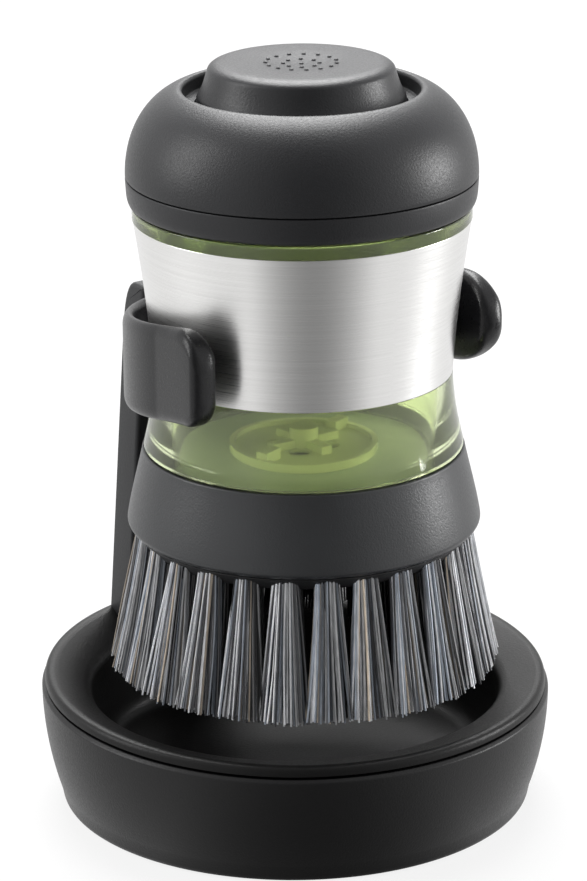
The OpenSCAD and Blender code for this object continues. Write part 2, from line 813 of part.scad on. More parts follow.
module brush_collar() {
    top_r = collar_top_r;
    low_r = collar_r;
    web_top = collar_web_z + collar_web_t;
    hole_r = barrel_r + 0.4;
    plate_seat_r = plate_r + fit_gap;
    color("#333437")
        at_brush()
            rotate_extrude()
                polygon(concat(
                    curve_points([[low_r, collar_low], [low_r - 0.7, collar_low + 0.3 * collar_h],
                                  [top_r + 0.9, collar_low + 0.7 * collar_h],
                                  [top_r, collar_top - 0.3]], 8),
                    [[top_r - 0.4, collar_top], [top_r - collar_wall, collar_top],
                     [top_r - collar_wall, web_top], [hole_r, web_top], [hole_r, collar_web_z - 3.5],
                     [hole_r + 1.8, collar_web_z - 3.5], [hole_r + 1.8, collar_web_z],
                     [top_r - collar_wall + 0.3, collar_web_z],
                     [low_r - collar_wall - 2.8, plate_top + 2],
                     [low_r - collar_wall - 2.8, plate_top + joint_gap],
                     [plate_seat_r, plate_top + joint_gap], [plate_seat_r, chamfer_z],
                     [chamfer_r, chamfer_z], [chamfer_r + 0.6, chamfer_z + 0.5]]));
}

module head_seal() {
    z = collar_web_z + collar_web_t;
    color("#55575a")
        at_brush()
            tube(barrel_r + 0.7, barrel_r + 3.4, z, z + 0.7);
}

module bristle_plate() {
    color("#1f2022")
        at_brush()
            tube(nozzle_r + 0.7, plate_r, plate_z, plate_top);
}

// Inner and outer radius of the slice of plate that carries each row
function slice_low(row) = row == 3 ? nozzle_r + 0.7 : (row_r[row] + row_r[row + 1]) / 2 + joint_gap / 2;
function slice_high(row) = row == 0 ? face_r : (row_r[row] + row_r[row - 1]) / 2 - joint_gap / 2;

// One strand: a thin three-sided spike from root to tip, with level ends
module strand(root, tip, turn) {
    points = [for (end = [[root, 1], [tip, 0.8]]) for (k = [0:2])
        let (a = turn + 120 * k, r = end[1] * strand_d / 2)
            end[0] + [r * cos(a), r * sin(a), 0]];
    polyhedron(points = points,
               faces = [[2, 1, 0], [3, 4, 5],
                        [1, 3, 0], [4, 3, 1], [2, 4, 1], [5, 4, 2], [0, 5, 2], [3, 5, 0]]);
}

// Height of the plate's underside at radius r: level, then bevelled up to the collar
function face_height(r) =
    face_z + max(0, r - face_r) * (chamfer_z - joint_gap - face_z) / (chamfer_r - 0.1 - face_r);

// One row: its slice of plate, and tufts whose strands spread from root to tip
module bristle_row(row) {
    drop = face_height(row_r[row]) - tip_z;
    count = row_strands[row];
    root_in = row == 0 ? 0.45 : 0.8;
    at_brush() {
        if (row == 0)
            rotate_extrude()
                polygon([[slice_low(0), face_z], [face_r, face_z], [chamfer_r - 0.1, chamfer_z - joint_gap],
                         [plate_r + 0.1, chamfer_z - joint_gap], [plate_r + 0.1, plate_z],
                         [slice_low(0), plate_z]]);
        else
            tube(slice_low(row), slice_high(row), face_z, plate_z);
        for (t = [0:row_tufts[row] - 1])
            rotate([0, 0, 360 * (t + 0.5 * (row % 2)) / row_tufts[row]])
                for (s = [0:count - 1]) {
                    a = 360 * s / (count - 1) + 29 * t;
                    far = s == 0 ? 0 : 1;
                    root_r = row_r[row] + root_in * far * cos(a);
                    root = [root_r, 1.7 * far * sin(a), face_height(root_r + strand_d / 2) + 0.2];
                    fan = [row_r[row] + drop * tan(row_lean[row]) + 1.5 * far * cos(a),
                           3.1 * far * sin(a), tip_z + 0.6 * abs(sin(97 * t + 61 * s))];
                    strand(root, fan, 40 * s);
                }
    }
}

module bristle_row_1() { color("#8d8e8e") bristle_row(0); }
module bristle_row_2() { color("#7c7d7e") bristle_row(1); }
module bristle_row_3() { color("#707172") bristle_row(2); }
module bristle_row_4() { color("#666768") bristle_row(3); }

base_shell();
non_slip_ring();
drip_tray();
back_post();
grip_clip();
tank();
steel_sleeve();
valve_housing();
housing_seal();
outlet_valve();
valve_retainer();
cap_gasket();
cap_dome();
cap_core();
air_valve();
return_spring();
button();
pump_piston();
piston_seal();
brush_collar();
head_seal();
bristle_plate();
bristle_row_1();
bristle_row_2();
bristle_row_3();
bristle_row_4();
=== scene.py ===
"""Palm dish brush with soap tank, standing in its holder: the dressed model.

Lengths in this file are in millimetres, and become metres where a mesh is made.
The brush and its cap stand on an upright axis at Y = BRUSH_Y, in front of the base's axis.
"""

import bmesh
import bpy
import numpy as np
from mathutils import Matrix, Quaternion, Vector


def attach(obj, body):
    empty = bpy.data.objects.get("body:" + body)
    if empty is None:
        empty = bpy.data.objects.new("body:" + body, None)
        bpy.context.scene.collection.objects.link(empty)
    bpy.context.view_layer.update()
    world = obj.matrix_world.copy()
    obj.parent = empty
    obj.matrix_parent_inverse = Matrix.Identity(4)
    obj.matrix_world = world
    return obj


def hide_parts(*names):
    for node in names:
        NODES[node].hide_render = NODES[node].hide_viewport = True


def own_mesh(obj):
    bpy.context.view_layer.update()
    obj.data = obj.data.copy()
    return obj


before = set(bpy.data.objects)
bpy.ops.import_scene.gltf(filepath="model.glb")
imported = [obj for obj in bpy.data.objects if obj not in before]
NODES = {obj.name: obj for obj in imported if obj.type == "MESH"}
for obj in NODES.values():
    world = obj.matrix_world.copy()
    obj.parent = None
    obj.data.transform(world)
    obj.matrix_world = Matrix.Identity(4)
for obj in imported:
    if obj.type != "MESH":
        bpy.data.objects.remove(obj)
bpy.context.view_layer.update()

MM = 0.001
BRUSH_Y = -3.3
TAU = 2 * np.pi

# Points closer than DOUBLE are one point, and a radius under ON_AXIS is none. V grows by UV_SCALE with each
# millimetre along a profile
DOUBLE, ON_AXIS, UV_SCALE = 1e-5, 1e-6, 0.005

# Heights of the brush's seams, from the tank's lower edge up to the button
TANK_Z = 71.7
SLEEVE_Z = TANK_Z + 14.6
SLEEVE_TOP = SLEEVE_Z + 29.5
BAND_TOP = SLEEVE_TOP + 2.5
CAP_Z = SLEEVE_TOP + 2.8
CAP_SEAM = CAP_Z + 5.1
RIM_Z = CAP_SEAM + 16.3
BUTTON_Z = RIM_Z + 4.7
NECK_Z = BAND_TOP + 7
DECK_Z = NECK_Z + 1.3
DECK_TOP = DECK_Z + 2

# Radii of the brush's outline
WINDOW_R, WAIST_R, SLEEVE_R, CAP_R = 30.2, 28.05, 31.4, 32.6
OPENING_R, BUTTON_R = 21.8, 19.3
NECK_R, SKIRT_R = 28.1, 29.1

# Turns and pitch of the neck's thread
THREAD = (1.5, 2.6)

# The clip's band at the post, and the slope of its arms
CLIP_Z = SLEEVE_Z - 9.3
CLIP_TOP = CLIP_Z + 18.2
CLIP_R, CLIP_T = 31.2, 2.4
ARM_REACH, TIP_R = 14.9, 2.4
CLIP_SLOPE = np.tan(np.radians(8.9))

# The clip's pads: the left one has its own half thickness, length of nose and power of its curve, and stops
# LEFT_SHORT before the right one, and both have an upper and a lower corner radius
LEFT_TIP_R, LEFT_NOSE, LEFT_POWER = 2.6, 1.9, 2.6
LEFT_SHORT, SHORT_FADE = 1.2, 20
TIP_TAPER = 14
LEFT_CORNERS, RIGHT_CORNERS = (8, 4.5), (11.5, 12)
FLAT_CORNER = 0.7
EDGE_REACH = (1.6, 2.3)
FAR = 99.0


# Camera
def way(azimuth, elevation):
    """Unit vector that points from the object towards an azimuth and an elevation in degrees."""
    a, e = np.radians(azimuth), np.radians(elevation)
    return np.array([np.sin(a) * np.cos(e), -np.cos(a) * np.cos(e), np.sin(e)])


def aim_camera():
    """Places the camera 720 mm from the middle of the object, 35 degrees to its left and 19 degrees up."""
    target = np.array([0, 0, 70.8])
    distance, roll = 720, 0.4
    pixels_per_mm, picture_height, sensor = 5.286, 881, 36
    back = way(-35, 18.7)
    data = bpy.data.cameras.new("camera")
    data.lens = sensor * distance * pixels_per_mm / picture_height
    data.sensor_width = sensor
    data.sensor_fit = "AUTO"
    data.clip_start, data.clip_end = 0.01, 20
    camera = bpy.data.objects.new("camera", data)
    bpy.context.scene.collection.objects.link(camera)
    camera.location = Vector((target + distance * back) * MM)
    camera.rotation_mode = "QUATERNION"
    turn = Quaternion((0, 0, 1), np.radians(-roll))
    camera.rotation_quaternion = Vector(-back).to_track_quat("-Z", "Y") @ turn
    bpy.context.scene.camera = camera


aim_camera()


# Curves
def bezier(points, steps=16):
    """Cubic Bezier curve: the four points weighted by the Bernstein polynomials of t from 0 to 1."""
    t = np.linspace(0, 1, steps + 1)[:, None]
    p = np.array(points, float)
    s = 1 - t
    return s**3 * p[0] + 3 * s * s * t * p[1] + 3 * s * t * t * p[2] + t**3 * p[3]


def arc(centre, radius, start, end, steps=12):
    """Circular arc: centre plus radius times (cos a, sin a), with a from start to end in degrees."""
    a = np.radians(np.linspace(start, end, steps + 1))
    return np.array(centre, float) + radius * np.stack([np.cos(a), np.sin(a)], 1)


def rounded(corners, steps=5):
    """Polyline with its corners rounded.

    Each corner is (x, y, radius). It becomes a quadratic curve that starts and ends at the radius from
    the corner, or at half the side if that is shorter. A point just outside each end keeps the flats flat.
    """
    c = np.array(corners, float)
    out = []
    for i in range(len(c)):
        here, before, after = c[i, :2], c[i - 1, :2], c[(i + 1) % len(c), :2]
        if c[i, 2] <= 0:
            out.append(here[None])
            continue
        to_before, to_after = before - here, after - here
        lb, la = np.linalg.norm(to_before), np.linalg.norm(to_after)
        rb, ra = min(c[i, 2], lb * 0.48), min(c[i, 2], la * 0.48)
        a, b = here + to_before / lb * rb, here + to_after / la * ra
        t = np.linspace(0, 1, steps + 1)[:, None]
        curve = (1 - t)**2 * a + 2 * t * (1 - t) * here + t * t * b
        guard_a = here + to_before / lb * min(rb * 1.15, lb * 0.49)
        guard_b = here + to_after / la * min(ra * 1.15, la * 0.49)
        out.append(np.concatenate([guard_a[None], curve, guard_b[None]]))
    return np.concatenate(out)


def flat(points):
    """Points of a curve as corners for rounded(), all with no radius of their own."""
    p = np.array(points, float)
    return np.column_stack([p, np.zeros(len(p))])


def chain(*parts):
    """Corners of an outline from several lists, one after the other."""
    return np.concatenate([np.array(p, float).reshape(-1, 3) for p in parts])


# Meshes
def put_mesh(name, points, faces, uv=None, crease=40):
    """Makes a smooth object from points in millimetres and lists of faces, with its place in its mesh.

    Edges that bend by more than crease degrees stay sharp.
    """
    mesh = bpy.data.meshes.new(name)
    mesh.from_pydata((np.asarray(points) * MM).tolist(), [], faces)
    if uv is not None:
        layer = mesh.uv_layers.new(name="UVMap")
        index = np.zeros(len(mesh.loops), np.int32)
        mesh.loops.foreach_get("vertex_index", index)
        layer.data.foreach_set("uv", np.asarray(uv, np.float32)[index].ravel())
    mesh.validate()
    mesh.polygons.foreach_set("use_smooth", np.ones(len(mesh.polygons), bool))
    mesh.set_sharp_from_angle(angle=np.radians(crease))
    mesh.update()
    obj = bpy.data.objects.new(name, mesh)
    bpy.context.scene.collection.objects.link(obj)
    return obj


def grid_faces(rows, columns, wrap_rows=False, wrap_columns=False):
    """Quads of a grid of points, numbered row by row."""
    i = np.arange(rows if wrap_rows else rows - 1)
    j = np.arange(columns if wrap_columns else columns - 1)
    i, j = np.meshgrid(i, j, indexing="ij")
    i2, j2 = (i + 1) % rows, (j + 1) % columns
    quads = np.stack([i * columns + j, i * columns + j2, i2 * columns + j2, i2 * columns + j], -1)
    return quads.reshape(-1, 4)


def outline_area(p):
    """Signed area inside a closed outline."""
    x, y = p[:, 0], p[:, 1]
    return 0.5 * np.sum(x * np.roll(y, -1) - np.roll(x, -1) * y)


def closed_profile(profile):
    """Closed profile without doubled points, that runs so that the faces point outwards.

    Where the profile has two neighbours on the axis, it starts at one of them and ends at the other.
    """
    p = np.array(profile, float)
    keep = np.linalg.norm(p - np.roll(p, 1, 0), axis=1) > DOUBLE
    keep[0] = True
    p = p[keep]
    if np.linalg.norm(p[0] - p[-1]) < DOUBLE:
        p = p[:-1]
    on_axis = p[:, 0] < ON_AXIS
    p = np.roll(p, -int(np.argmax(on_axis & np.roll(on_axis, 1))), axis=0)
    return p[::-1] if outline_area(p) < 0 else p


def lathe(name, profile, centre_y=BRUSH_Y, turns=192, wave=None):
    """Surface of revolution about an upright axis.

    A point (r, z) of the profile goes to (r sin a, centre_y - r cos a, z) for a from 0 to a full turn.
    Points on the axis become one pole. wave(r, z, a) may lift z round the turn.
    """
    p = closed_profile(profile)
    inner = p[p[:, 0] >= ON_AXIS]
    a = np.arange(turns) / turns * TAU
    r, z = inner[:, :1], inner[:, 1:]
    height = z + 0 * a if wave is None else z + wave(r, z, a)
    grid = np.stack([r * np.sin(a), centre_y - r * np.cos(a), height], -1).reshape(-1, 3)
    along = np.concatenate([[0], np.cumsum(np.linalg.norm(np.diff(inner, axis=0), axis=1))])
    uv = np.stack([0 * r + a / TAU, np.repeat(along[:, None] * UV_SCALE, turns, 1)], -1).reshape(-1, 2)
    has_poles = len(inner) < len(p)
    faces = grid_faces(len(inner), turns, wrap_rows=not has_poles, wrap_columns=True).tolist()
    points = [grid]
    if has_poles:
        ring = np.arange(turns)
        last = (len(inner) - 1) * turns
        first_pole = np.full(turns, len(grid))
        points.append([[0, centre_y, p[0, 1]], [0, centre_y, p[-1, 1]]])
        uv = np.concatenate([uv, [[0.5, 0], [0.5, 1]]])
        faces += np.stack([first_pole, np.roll(ring, -1), ring], 1).tolist()
        faces += np.stack([first_pole + 1, last + ring, last + np.roll(ring, -1)], 1).tolist()
    return put_mesh(name, np.concatenate(points), faces, uv)


def slab(name, outline, half_width, edge, steps=5):
    """Outline in (y, z) carried across X, with its edges rounded.

    At a distance from the side less than edge, the outline moves in along its normals by
    edge - sqrt(edge^2 - depth^2). The two ends are closed by one flat face each.
    """
    p = np.array(outline, float)
    if outline_area(p) < 0:
        p = p[::-1]
    ahead, behind = np.roll(p, -1, 0) - p, p - np.roll(p, 1, 0)
    tangent = ahead / np.linalg.norm(ahead, axis=1)[:, None]
    tangent += behind / np.linalg.norm(behind, axis=1)[:, None]
    tangent /= np.linalg.norm(tangent, axis=1)[:, None]
    inward = np.stack([-tangent[:, 1], tangent[:, 0]], 1)
    a = np.linspace(0, np.pi / 2, steps + 1)
    depth = edge * (1 - np.sin(a))
    shift = edge * (1 - np.cos(a))
    stations = np.concatenate([half_width - depth[::-1], -(half_width - depth)])
    move = np.concatenate([shift[::-1], shift])
    rings = [np.column_stack([np.full(len(p), x), p + inward * m]) for x, m in zip(stations, move)]
    points = np.concatenate(rings)
    n = len(p)
    faces = grid_faces(len(rings), n, wrap_columns=True)[:, ::-1].tolist()
    faces.append(list(range(n)))
    faces.append(list(range((len(rings) - 1) * n, len(rings) * n))[::-1])
    return put_mesh(name, points, faces)


def round_box_section(corner_steps):
    """Unit directions round a rounded rectangle: side signs and the corner's cosine and sine."""
    a = np.linspace(0, np.pi / 2, corner_steps + 1)
    c, s = np.cos(a), np.sin(a)
    sx = np.repeat([1, -1, -1, 1], corner_steps + 1)
    sz = np.repeat([1, 1, -1, -1], corner_steps + 1)
    cx = np.concatenate([c, -s, -c, s])
    cz = np.concatenate([s, c, -s, -c])
    return sx, sz, cx, cz


def band(name, path, normal, half_thick, offset, z_low, z_high, corner):
    """Upright band along a plan path, with a rounded rectangle for its section.

    At each station the section is centred on path + offset * normal. It reaches half_thick to
    either side, and from z_low to z_high. Its corners are quarter ellipses: corner gives how far
    they reach across and up, or less where the section is too small.
    """
    sx, sz, cx, cz = round_box_section(7)
    wide = np.minimum(corner[0], half_thick * 0.98)[:, None]
    tall = np.minimum(corner[1], (z_high - z_low) * 0.49)[:, None]
    across = sx * (half_thick[:, None] - wide) + wide * cx
    mid, half = (z_high + z_low)[:, None] / 2, (z_high - z_low)[:, None] / 2
    up = mid + sz * (half - tall) + tall * cz
    plan = path[:, None, :] + normal[:, None, :] * (offset[:, None] + across)[..., None]
    points = np.concatenate([plan, up[..., None]], -1)
    rows, columns = points.shape[:2]
    faces = grid_faces(rows, columns, wrap_columns=True).tolist()
    faces.append(list(range(columns))[::-1])
    faces.append(list(range((rows - 1) * columns, rows * columns)))
    return put_mesh(name, points.reshape(-1, 3), faces)


def recalc(obj):
    """Turns the faces of a closed piece outwards."""
    work = bmesh.new()
    work.from_mesh(obj.data)
    bmesh.ops.recalc_face_normals(work, faces=work.faces)
    work.to_mesh(obj.data)
    work.free()
    return obj


# Materials
def new_material(name, colour, roughness, specular=0.5, metallic=0.0):
    """Node material with its uniform values on the shader's own sockets."""
    material = bpy.data.materials.new(name)
    material.use_nodes = True
    shader = material.node_tree.nodes["Principled BSDF"]
    shader.inputs["Base Color"].default_value = (*colour, 1)
    shader.inputs["Roughness"].default_value = roughness
    shader.inputs["Specular IOR Level"].default_value = specular
    shader.inputs["Metallic"].default_value = metallic
    return material, material.node_tree, shader


def add(tree, kind, **inputs):
    """Adds a node and sets its inputs by name."""
    node = tree.nodes.new(kind)
    for key, value in inputs.items():
        node.inputs[key.replace("_", " ")].default_value = value
    return node


def noise(tree, source, scale, detail=2.0, stretch=None):
    """Noise texture on given coordinates, stretched by a mapping if asked."""
    node = add(tree, "ShaderNodeTexNoise", Scale=scale, Detail=detail)
    if stretch is not None:
        mapping = add(tree, "ShaderNodeMapping")
        mapping.inputs["Scale"].default_value = stretch
        tree.links.new(source, mapping.inputs["Vector"])
        source = mapping.outputs["Vector"]
    tree.links.new(source, node.inputs["Vector"])
    return node.outputs["Fac"]


def remap(tree, value, low, high, start=0.3, end=0.7):
    """Maps a value from start..end to low..high."""
    node = tree.nodes.new("ShaderNodeMapRange")
    for key, number in (("From Min", start), ("From Max", end), ("To Min", low), ("To Max", high)):
        node.inputs[key].default_value = number
    tree.links.new(value, node.inputs["Value"])
    return node.outputs["Result"]


def bump(tree, shader, height, strength, distance):
    """Bump from a height, on the shader's normal."""
    node = add(tree, "ShaderNodeBump", Strength=strength, Distance=distance)
    tree.links.new(height, node.inputs["Height"])
    tree.links.new(node.outputs["Normal"], shader.inputs["Normal"])
    return node


def mixed(tree, factor, a, b):
    """Colour between a and b by a factor."""
    node = tree.nodes.new("ShaderNodeMix")
    node.data_type = "RGBA"
    node.inputs["A"].default_value = (*a, 1)
    node.inputs["B"].default_value = (*b, 1)
    tree.links.new(factor, node.inputs["Factor"])
    return node.outputs["Result"]


def moulded(name, colour, roughness, grain=2600, depth=0.35, specular=0.4, spread=0.12):
    """Moulded plastic: fine spark grain in the bump, soft blotches in colour and roughness."""
    material, tree, shader = new_material(name, colour, roughness, specular)
    place = tree.nodes.new("ShaderNodeTexCoord").outputs["Object"]
    fine = noise(tree, place, grain, 3)
    blotch = noise(tree, place, 60, 2)
    c = np.array(colour)
    tint = mixed(tree, remap(tree, blotch, 0, 1), tuple(c * (1 - spread)), tuple(c * (1 + spread)))
    tree.links.new(tint, shader.inputs["Base Color"])
    rough = remap(tree, fine, roughness - 0.05, roughness + 0.07)
    tree.links.new(rough, shader.inputs["Roughness"])
    bump(tree, shader, fine, depth, 0.00012)
    return material


def brushed_steel(name):
    """Steel brushed round the sleeve: long streaks along U in bump, roughness and tone."""
    material, tree, shader = new_material(name, (0.74, 0.735, 0.725), 0.3, 0.5, 1.0)
    uv = tree.nodes.new("ShaderNodeTexCoord").outputs["UV"]
    streaks = noise(tree, uv, 1.0, 4, (14, 4200, 1))
    broad = noise(tree, uv, 1.0, 3, (3, 420, 1))
    tint = mixed(tree, remap(tree, broad, 0, 1), (0.71, 0.705, 0.695), (0.77, 0.765, 0.755))
    tree.links.new(tint, shader.inputs["Base Color"])
    tree.links.new(remap(tree, streaks, 0.24, 0.36), shader.inputs["Roughness"])
    shader.inputs["Anisotropic"].default_value = 0.7
    shader.inputs["Anisotropic Rotation"].default_value = 0.25
    tangent = tree.nodes.new("ShaderNodeTangent")
    tangent.direction_type = "UV_MAP"
    tree.links.new(tangent.outputs["Tangent"], shader.inputs["Tangent"])
    bump(tree, shader, streaks, 0.12, 0.00005)
    return material


def clear_plastic(name, colour, roughness=0.06, clear=0.75):
    """Clear tinted plastic that light passes through, with a faint waviness."""
    material, tree, shader = new_material(name, colour, roughness, 0.5)
    shader.inputs["Transmission Weight"].default_value = clear
    shader.inputs["IOR"].default_value = 1.45
    place = tree.nodes.new("ShaderNodeTexCoord").outputs["Object"]
    wave = noise(tree, place, 120, 1)
    c = np.array(colour)
    tint = mixed(tree, remap(tree, wave, 0, 1), tuple(c * 0.97), tuple(np.minimum(c * 1.02, 1)))
    tree.links.new(tint, shader.inputs["Base Color"])
    bump(tree, shader, wave, 0.05, 0.0002)
    return material


def strand_material(name):
    """Nylon strands: each strand's own colour from its attribute, with streaks along it."""
    material, tree, shader = new_material(name, (0.4, 0.4, 0.4), 0.38, 0.5)
    colour = tree.nodes.new("ShaderNodeAttribute")
    colour.attribute_name = "strand_colour"
    place = tree.nodes.new("ShaderNodeTexCoord").outputs["Object"]
    streak = remap(tree, noise(tree, place, 1.0, 2, (1800, 1800, 60)), 0.75, 1.15)
    scaled = tree.nodes.new("ShaderNodeVectorMath")
    scaled.operation = "SCALE"
    tree.links.new(colour.outputs["Color"], scaled.inputs[0])
    tree.links.new(streak, scaled.inputs["Scale"])
    tree.links.new(scaled.outputs["Vector"], shader.inputs["Base Color"])
    tree.links.new(remap(tree, streak, 0.3, 0.46, 0.75, 1.15), shader.inputs["Roughness"])
    return material


# The base's charcoal is darker and the collar's lighter than the cap's, though all are one charcoal plastic:
# painted shade on the base, painted light on the collar.
CHARCOAL = moulded("cap_charcoal", (0.0135, 0.0138, 0.0158), 0.4, specular=0.4)
LIT_COLLAR_CHARCOAL = moulded("lit_collar_charcoal", (0.026, 0.0275, 0.03), 0.38, specular=0.5)
SHADED_BASE_CHARCOAL = moulded("shaded_base_charcoal", (0.004, 0.0038, 0.0042), 0.38, specular=0.32)
POST_CHARCOAL = moulded("post_charcoal", (0.022, 0.0225, 0.024), 0.5, specular=0.4)
TRAY_BLACK = moulded("tray_black", (0.006, 0.0058, 0.0058), 0.38, specular=0.2)
CLIP_BLACK = moulded("clip_black", (0.007, 0.007, 0.0082), 0.3, depth=0.2, specular=0.32)
PLATE_BLACK = moulded("plate_black", (0.008, 0.008, 0.009), 0.5)
SOFT_GREY = moulded("seal_rubber", (0.05, 0.05, 0.052), 0.62, grain=900, depth=0.25, specular=0.3)
MILKY = moulded("valve_silicone", (0.7, 0.71, 0.66), 0.42, grain=900, depth=0.1)
PALE = moulded("pump_plastic", (0.68, 0.7, 0.66), 0.36, grain=1800, depth=0.1)
STEEL = brushed_steel("sleeve_steel")
GREEN = clear_plastic("tank_green", (0.88, 0.97, 0.62), clear=0.94)
FLOOR_GREEN = clear_plastic("floor_green", (0.68, 0.76, 0.6), 0.2, 0.25)
HOUSING_GREEN = clear_plastic("housing_green", (0.95, 0.97, 0.66), 0.12, 0.1)
STRANDS = strand_material("bristle_nylon")


def wire_steel():
    """Drawn spring wire: fine streaks in roughness."""
    material, tree, shader = new_material("spring_steel", (0.6, 0.6, 0.58), 0.28, 0.5, 1.0)
    place = tree.nodes.new("ShaderNodeTexCoord").outputs["Object"]
    tree.links.new(remap(tree, noise(tree, place, 900, 3), 0.2, 0.4), shader.inputs["Roughness"])
    return material


WIRE = wire_steel()


def finish_piece(obj, body, material, slot, *nodes):
    """Gives a piece its material and body, and hides the nodes that it stands for; the slot is not used."""
    obj.data.materials.clear()
    obj.data.materials.append(material)
    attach(obj, body)
    if nodes:
        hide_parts(*nodes)
    return obj


def dress_node(name, material):
    """Gives a carried-over solid its material."""
    obj = NODES[name]
    obj.data.materials.clear()
    obj.data.materials.append(material)


# Holder
BASE_R, BASE_H, FOOT_GAP = 48.8, 22.1, 0.4
WALL_Z, FOOT_IN = 21.5, 3.5
WALL_R = (19.2**2 + FOOT_IN**2) / (2 * FOOT_IN)
WALL_C = BASE_R - WALL_R
CREST_Z, CREST_R, BEAD_R, BEAD_Z = 24.3, 46.9, 48.2, 22.6
WELL_R, WELL_Z = 39.4, 6.6
SLOPE = np.tan(np.radians(16))
RIM_SLOPE = 0.023
POST_Y, POST_T, POST_HALF_W = 45.5, 7, 13.5
POST_LEAN = np.tan(np.radians(6.4))
SLOPE_Z = CREST_Z - 0.15 - (CREST_R - 0.9 - WELL_R) * SLOPE


def rim_rise(r, z, a):
    """The rim lifts in a straight line from the front to the post, and the wall below follows it less."""
    y = -r * np.cos(a)
    return RIM_SLOPE * np.clip(y + 39, 0, None) * np.clip((r - 40) / 5, 0, 1) * np.clip((z - 4) / 16, 0, 1)


def make_base():
    """Base shell: bowl wall on a circular arc, rounded foot, bevelled top edge, tray ledge inside."""
    foot = BASE_R - FOOT_IN
    outer = arc((WALL_C, WALL_Z), WALL_R, -np.degrees(np.arcsin(19.2 / WALL_R)) + 1.2, 0, 28)
    inner = arc((WALL_C, WALL_Z), WALL_R - 2.2, -8, -21, 10)
    corners = chain(
        [(0, FOOT_GAP, 0), (37.4, FOOT_GAP, 0.2), (37.4, 1.4, 0.1), (40.6, 1.4, 0.1), (40.6, FOOT_GAP, 0.2),
         (foot - 0.2, FOOT_GAP, 1.0)],
        flat(outer[:-1]),
        [(BASE_R, WALL_Z, 0.25), (BASE_R - 0.6, BASE_H, 0.2), (46.6, BASE_H, 0.15), (46.6, 19.2, 0),
         (44.7, 19.2, 0), (44.7, 18.2, 0)],
        flat(inner),
        [(43.0, 2.4, 0.6), (0, 2.4, 0)])
    return lathe("base_bowl", rounded(corners), centre_y=0, turns=256, wave=rim_rise)


def make_tray():
    """Drip tray: rolled bead, broad ring that slopes to the well, rounded well edge, flat floor."""
    top = chain(
        flat(bezier([(BEAD_R, BEAD_Z), (BEAD_R + 0.02, CREST_Z - 0.35), (CREST_R + 0.85, CREST_Z),
                     (CREST_R, CREST_Z)], 12)),
        flat(bezier([(CREST_R, CREST_Z), (CREST_R - 0.6, CREST_Z), (CREST_R - 0.7, CREST_Z - 0.12),
                     (CREST_R - 1.3, CREST_Z - 0.29)], 6)[1:]),
        [(WELL_R, SLOPE_Z, 1.5), (WELL_R - 2.0, WELL_Z, 3.2), (0, WELL_Z, 0),
         (0, WELL_Z - 1.6, 0), (WELL_R - 0.6, WELL_Z - 1.6, 3.5), (WELL_R + 1.6, SLOPE_Z - 1.8, 0.5),
         (44.8, SLOPE_Z - 0.4, 0.3), (44.8, 19.25, 0.1), (46.3, 19.25, 0.1), (46.3, BEAD_Z, 0.1)])
    return lathe("tray_insert", rounded(top), centre_y=0, turns=256, wave=rim_rise)


def post_back(z):
    """Place in Y of the post's back at a height: it leans forward by 6.4 degrees."""
    return POST_Y - (z - CREST_Z) * POST_LEAN


def make_post():
    """Leaning post: side outline with a round back corner at its top, carried across its width."""
    top, bottom = CLIP_TOP + 1, 20.3
    corners = [(post_back(bottom) - POST_T, bottom, 0), (post_back(bottom), bottom, 0),
               (post_back(top), top, 10.5), (post_back(top) - POST_T, top, 0.9)]
    return slab("leaning_post", rounded(corners, 8), POST_HALF_W, 0.9)


def clip_rise(y):
    """Height that the sloping clip has gained at a place y: the distance from its back times the slope."""
    return (CLIP_R + CLIP_T - (y - BRUSH_Y)) * CLIP_SLOPE


def clip_path(radius, reach, tip_steps):
    """Plan of the clip: in from one tip, round the half circle behind the brush, out to the other tip.

    It gives the points, their outward normals and their distances from the nearer tip, which count as FAR
    round the half circle.
    """
    near = np.concatenate([tip_steps, np.linspace(tip_steps[-1] + 0.6, reach, 5)])
    left = np.stack([np.full(len(near), -radius), -(reach - near)], 1)
    a = np.radians(np.linspace(180, 0, 73)[1:-1])
    bend = radius * np.stack([np.cos(a), np.sin(a)], 1)
    right = left[::-1] * [-1, 1]
    path = np.concatenate([left, bend, right])
    side = np.tile([1, 0], (len(right), 1))
    normal = np.concatenate([-side, bend / radius, side])
    return path + [0, BRUSH_Y], normal, np.concatenate([near, np.full(len(bend), FAR), near[::-1]])


def corner_loss(d, radius):
    """Height that a round corner takes away at a distance d from the tip: R - sqrt(R^2 - (R - d)^2)."""
    inside = np.maximum(radius - d, 0)
    return radius - np.sqrt(np.maximum(radius**2 - inside**2, 0))


